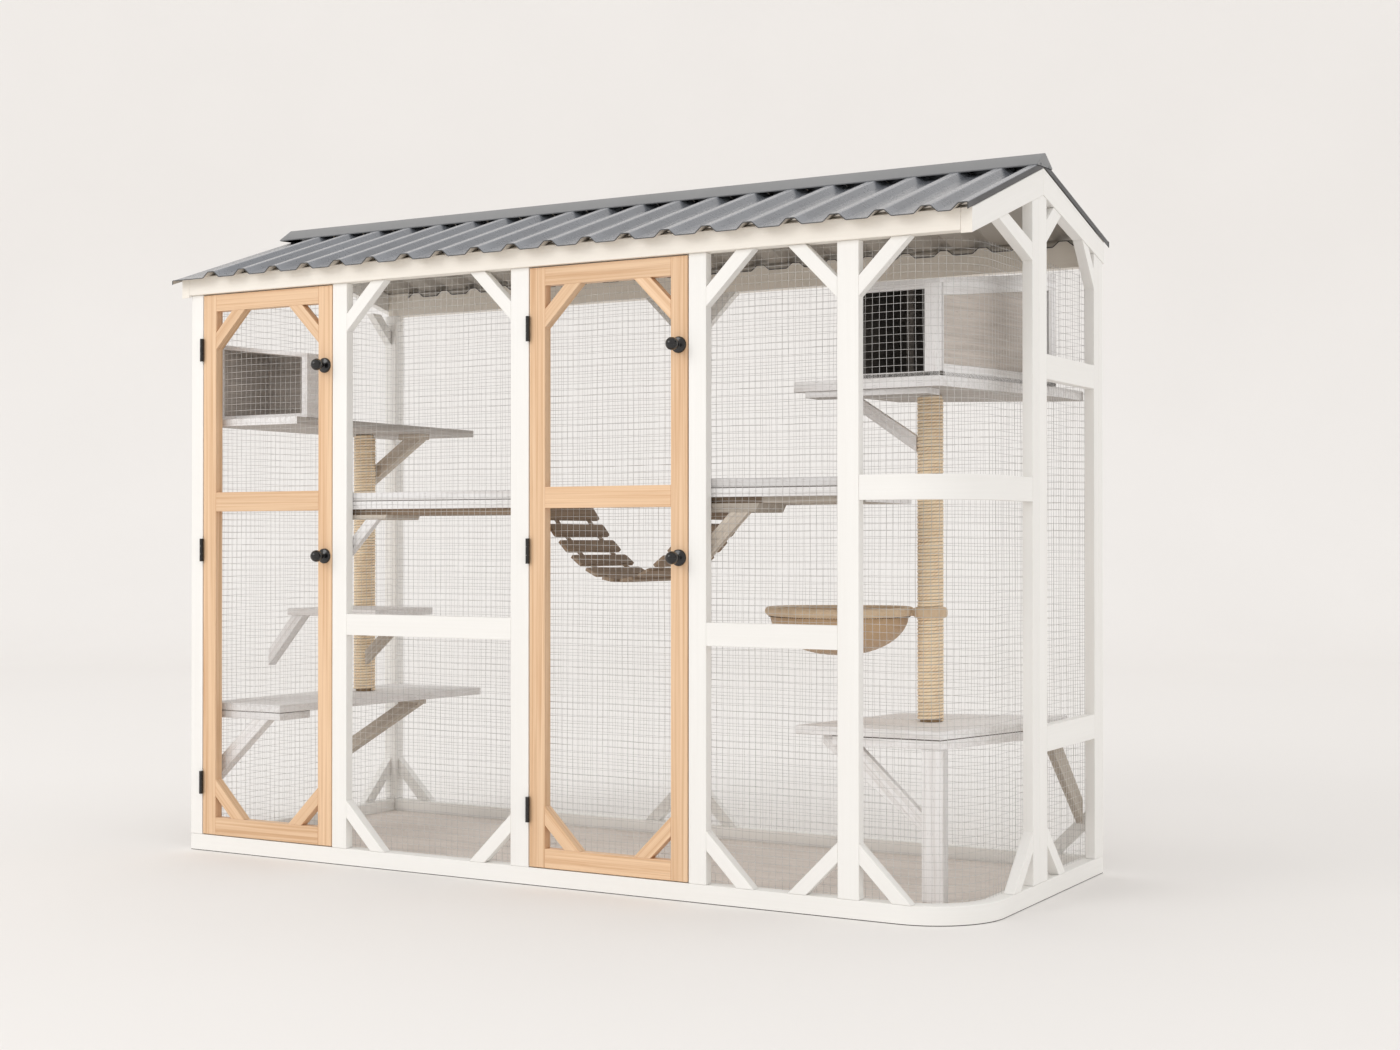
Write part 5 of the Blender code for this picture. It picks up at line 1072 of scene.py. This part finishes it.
pts = [(leg_x - GAP, 0.190), (leg_x - GAP, 0.236), (x1, low), (x0, low), (x0, tier_z)]
piece.board(pts, 1, 0.242, 0.262, (-1, 0, 1), BEVEL, 2.0, 0)
# Undersides take the darker wash: painted shade.
refinish(piece.done(), DOWN, 3)
piece = furniture("leg_right", "leg_lower_right", SHADED_SIDE_WOOD)
piece.block((leg_x, leg_x + 0.060), (0.236, 0.268), (0.0123, tier_z - GAP), Z, SOFT, 2.4)
# Faces towards +X take the darker wash: painted shade.
refinish(piece.done(), X, 1)

low = HIGH_RIGHT - HIGH_RIGHT_T
piece = furniture("shelf_high_right", "shelf_upper_right", BRACKET, PAINTED_SHADE_WOOD)
piece.board(HIGH_PLAN, 2, low, HIGH_RIGHT, X, SOFT)
y0 = HIGH_PLAN[0][1] + INSET
piece.block((LENGTH - 0.555, LENGTH - 0.21), (y0, y0 + 0.075), (low - 0.016, low), X)
face = POST_RIGHT[0] - POST_R - GAP
pts = [(face, 1.162), (face, 1.205), (LENGTH - 0.52, low), (LENGTH - 0.575, low)]
piece.board(pts, 1, 0.473, 0.493, (-1, 0, 0.6), BEVEL, 2.4, 0)
# Undersides take the darker wash: painted shade.
refinish(piece.done(), DOWN, 2)

# Right house
z0 = HIGH_RIGHT + GAP
A, B, C, D = HOUSE_PLAN


def roof_right(drop=0.0):
    """The height of the sloping top, less a drop, as a function of a point in plan."""
    return lambda p: 1.584 + 0.120 * (p[1] - B[1]) - drop


def way(a, b):
    return Vector((b[0] - a[0], b[1] - a[1], 0))


def inner(a, b, depth):
    """Two corners of a plan, moved to a depth on the inner side."""
    d = way(a, b).normalized() * depth
    return [(p[0] - d.y, p[1] + d.x) for p in (a, b)]


def strip(a, b, depth):
    """The strip of plan between two corners, to a depth on the inner side."""
    return [a, b, *inner(a, b, depth)[::-1]]


def part_way(a, b, t0, t1):
    return [(a[0] + (b[0] - a[0]) * t, a[1] + (b[1] - a[1]) * t) for t in (t0, t1)]


open0, open1 = ((x - A[0]) / (B[0] - A[0]) for x in (LENGTH - 0.41, LENGTH - 0.214))
window0, window1 = ((y - B[1]) / (C[1] - B[1]) for y in (0.570, 0.680))
post0, post1 = 0.0145 / math.dist(B, C), 0.019 / math.dist(B, C)
inner_b, inner_c = inner(B, C, 0.004)
top, trim_top, trim_low = roof_right(HOUSE_T), roof_right(0.044), z0 + 0.030
front_t, inset_t = 0.014, 0.007
piece = furniture("house_right", "cat_house_right", PANEL, INSIDE_SHADE)
for a, b, t0, t1, depth, lo, hi, grain, index in (
        # Front: a post at the corner, a sill and a rail round the opening, a narrow stile at its left
        (A, B, 0.0, open0, front_t, z0, top, Z, 0), (A, B, open1, 1.0, front_t, z0, top, Z, 0),
        (A, B, open0, open1, front_t, z0, z0 + HOUSE_T, way(A, B), 0),
        (A, B, open0, open1, front_t, 1.560, top, way(A, B), 0),
        # Side: trims round an inset panel with a window towards the rear
        (B, C, post0, post1, HOUSE_T, z0, top, Z, 0), (B, C, post1, 1.0, HOUSE_T, z0, trim_low, way(B, C), 0),
        (B, C, post1, 1.0, HOUSE_T, trim_top, top, way(B, C), 0),
        (inner_b, inner_c, post1, window0, inset_t, trim_low, trim_top, way(B, C), 1),
        (B, C, window1, 1.0, HOUSE_T, trim_low, trim_top, Z, 0),
        (inner_b, inner_c, window0, window1, inset_t, trim_low, z0 + 0.034, way(B, C), 1),
        # Back and left side
        (C, D, 0.02, 1.0, HOUSE_T, z0, top, X, 1), (D, A, 0.03, 0.97, HOUSE_T, z0, top, Y, 1)):
    piece.board(strip(*part_way(a, b, t0, t1), depth), 2, lo, hi, grain, THIN, None, index)
# The floor inside takes the dark inside colour: painted shade.
piece.board(HOUSE_PLAN, 2, z0, z0 + 0.011, X, THIN, None, 2)
piece.board(HOUSE_PLAN, 2, top, roof_right(), X, THIN)
# Thin dark sheets on the back, the left side and the ceiling: painted shade inside the house
for a, b in ((C, D), (D, A)):
    lining = strip(*inner(*part_way(a, b, 0.06, 0.94), 0.0116), 0.0014)
    piece.board(lining, 2, z0 + 0.0105, roof_right(HOUSE_T + 0.0005), way(a, b), FINE, None, 2)
middle = [sum(p[i] for p in HOUSE_PLAN) / 4 for i in (0, 1)]
ceiling = [[m + (c - m) * 0.88 for c, m in zip(p, middle)] for p in HOUSE_PLAN]
piece.board(ceiling, 2, roof_right(HOUSE_T + 0.0015), roof_right(HOUSE_T - 0.0005), X, FINE, None, 2).done()

# Hammock
HUB, RING_R, RING_T = (LENGTH - 0.565, 0.440, 0.735), 0.190, 0.012


def round_hub(r, a, rise):
    return HUB[0] + r * math.cos(a), HUB[1] + r * math.sin(a), HUB[2] + rise


piece = Piece("hammock_plush_ring", ["hammock_ring"], "hammock_plush", PLUSH)
pts = [round_hub(RING_R + 0.0010 * math.sin(3 * a + 1.0), a, 0.0012 * math.sin(2 * a + 0.5)) for a in turns(96)]
piece.add(tube(pts, RING_T, 20, Z, True), X, 0.0)
d = Vector((POST_RIGHT[0] - HUB[0], POST_RIGHT[1] - HUB[1], 0))
away = d.length
d.normalize()
start, stop = Vector(HUB) + d * (RING_R - 0.004), Vector(HUB) + d * (away - POST_R - GAP)
pts = [start + (stop - start) * t for t in shares(10)]
piece.add(tube(pts, lambda t: RING_T * (0.93 - 0.10 * math.sin(math.pi * t)), 20, Z), X, 0.0)
inner_r, half = POST_R + GAP, 0.0143
band = [(inner_r, -half)]
for t in shares(20):
    c, s = math.cos(math.pi * (t - 0.5)), math.sin(math.pi * (t - 0.5))
    band.append((inner_r + 0.0098 * abs(c) ** 0.7, half * math.copysign(abs(s) ** 0.75, s)))
band += [(inner_r, half), (inner_r, -half)]
piece.add(lathe(band, 56, (*POST_RIGHT, HUB[2])), X, 0.0)
ring = piece.done(False)

rows, sides, rim_r, rim_z, sag = 18, 96, 0.1865, -0.0105, 0.1075
line = []
for t in shares(rows):
    r = rim_r * math.cos(math.pi / 2 * t) ** 0.92 if t < 1 else 0.0
    line.append((r, rim_z - sag * math.sin(math.pi / 2 * t) ** 1.05))
lengths = [0.0]
for a, b in zip(line, line[1:]):
    lengths.append(lengths[-1] + math.dist(a, b))
bm = bmesh.new()
rings, flat_at = [], {}
for (r, h), s in zip(line, lengths):
    out = lengths[-1] - s
    rings.append([])
    for a in turns(sides if r > 0 else 1):
        fold = 0.0012 * math.sin(22 * a + 0.7 * math.sin(3 * a)) * max(0.0, 1 - s / 0.06) if r > 0 else 0.0
        v = bm.verts.new(round_hub(r + fold, a, h))
        flat_at[tuple(v.co)] = (out * math.cos(a), out * math.sin(a), 0.0)
        rings[-1].append(v)
turned(bm, rings, sides)
area = sum(f.calc_area() for f in bm.faces)
piece = Piece("hammock_bowl_cloth", ["hammock_cloth"], "hammock_cloth", CLOTH)
bowl = piece.add(bm, lambda p: flat_at[tuple(p)], 0.0).done(False)

piece = Piece("hammock_seam", [], "hammock_cloth", THREAD)
stitches = 150
for i in range(stitches):
    a0, a1 = 2 * math.pi * (i + 0.18) / stitches, 2 * math.pi * (i + 0.82) / stitches
    pts = [round_hub(RING_R + 0.0008, a0 + (a1 - a0) * t, -RING_T - 0.0004 - 0.0005 * math.sin(math.pi * t))
           for t in shares(4)]
    piece.add(tube(pts, 0.0011, 6), X, 0.0)
piece.done(False)

# Studio
yaw, pitch = math.radians(29.8722), math.radians(0.46699)
eye, lens = (2.98609, -4.79188, 0.92534), 50.053
right = Vector((math.cos(yaw), math.sin(yaw), 0.0))
level = Vector((-math.sin(yaw), math.cos(yaw), 0.0))
ahead = level * math.cos(pitch) + Vector(Z) * math.sin(pitch)
camera = link("camera", bpy.data.cameras.new("camera"))
basis = Matrix((right, right.cross(ahead), -ahead)).transposed().to_4x4()
camera.matrix_world = Matrix.Translation(eye) @ basis
camera.data.sensor_width, camera.data.lens = 36.0, lens
camera.data.clip_start, camera.data.clip_end = 0.05, 200.0
bpy.context.scene.camera = camera

# Paper backdrop: a floor that sweeps up far behind the object
SPAN, SWEEP_AT, SWEEP_R, TOP = 24.0, 9.0, 4.0, 16.0
profile = [(-SPAN, 0.0), (SWEEP_AT, 0.0)]
for t in shares(24)[1:]:
    a = math.pi / 2 * t
    profile.append((SWEEP_AT + SWEEP_R * math.sin(a), SWEEP_R - SWEEP_R * math.cos(a)))
profile.append((SWEEP_AT + SWEEP_R, TOP))
bm = bmesh.new()
rows = [[bm.verts.new(right * u + level * v + Vector((0, 0, h))) for u in (-SPAN, SPAN)] for v, h in profile]
skin(bm, rows, False)
mesh = bpy.data.meshes.new("backdrop")
bm.to_mesh(mesh)
bm.free()
mesh.shade_smooth()
s = shader("backdrop_paper")
spot = s.spot()
away = s.node("VectorMath", {0: spot, 1: tuple(level)}, operation="DOT_PRODUCT").outputs["Value"]
fade = s.math("MULTIPLY_ADD", away, 0.07, 0.0, clamp=True)
fade = s.ramp(fade, (0.05, (0.840, 0.815, 0.792)), (0.75, (0.905, 0.882, 0.860)))
paper = s.mix(s.noise(spot, 0.6, 2.0), fade, (0.865, 0.842, 0.820))
mesh.materials.append(s.set(Base_Color=paper, Roughness=0.9, Specular_IOR_Level=0.15))
backdrop = link("backdrop", mesh)

light = bpy.data.lights.new("key", "AREA")
light.shape, light.size, light.energy, light.color = "DISK", 5.0, 195.0, (1.0, 0.99, 0.975)
lamp = link("key", light)
lamp.location = (-4.6, -8.0, 6.0)
lamp.rotation_euler = (Vector((0.0, 0.0, 0.9)) - lamp.location).to_track_quat("-Z", "Y").to_euler()

# The world lights in white and is seen in the colour of the far paper
s = Nodes(bpy.data.worlds.new("studio"), "Background")
ray = s.node("LightPath").outputs
seen = s.math("MAXIMUM", ray["Is Camera Ray"], ray["Is Glossy Ray"])
seen = s.math("MAXIMUM", seen, ray["Is Transmission Ray"])
bpy.context.scene.world = s.set(Color=s.mix(seen, (1.0, 0.995, 0.99), (0.838, 0.807, 0.775)), Strength=1.0)
bpy.context.scene.view_settings.view_transform = "Standard"
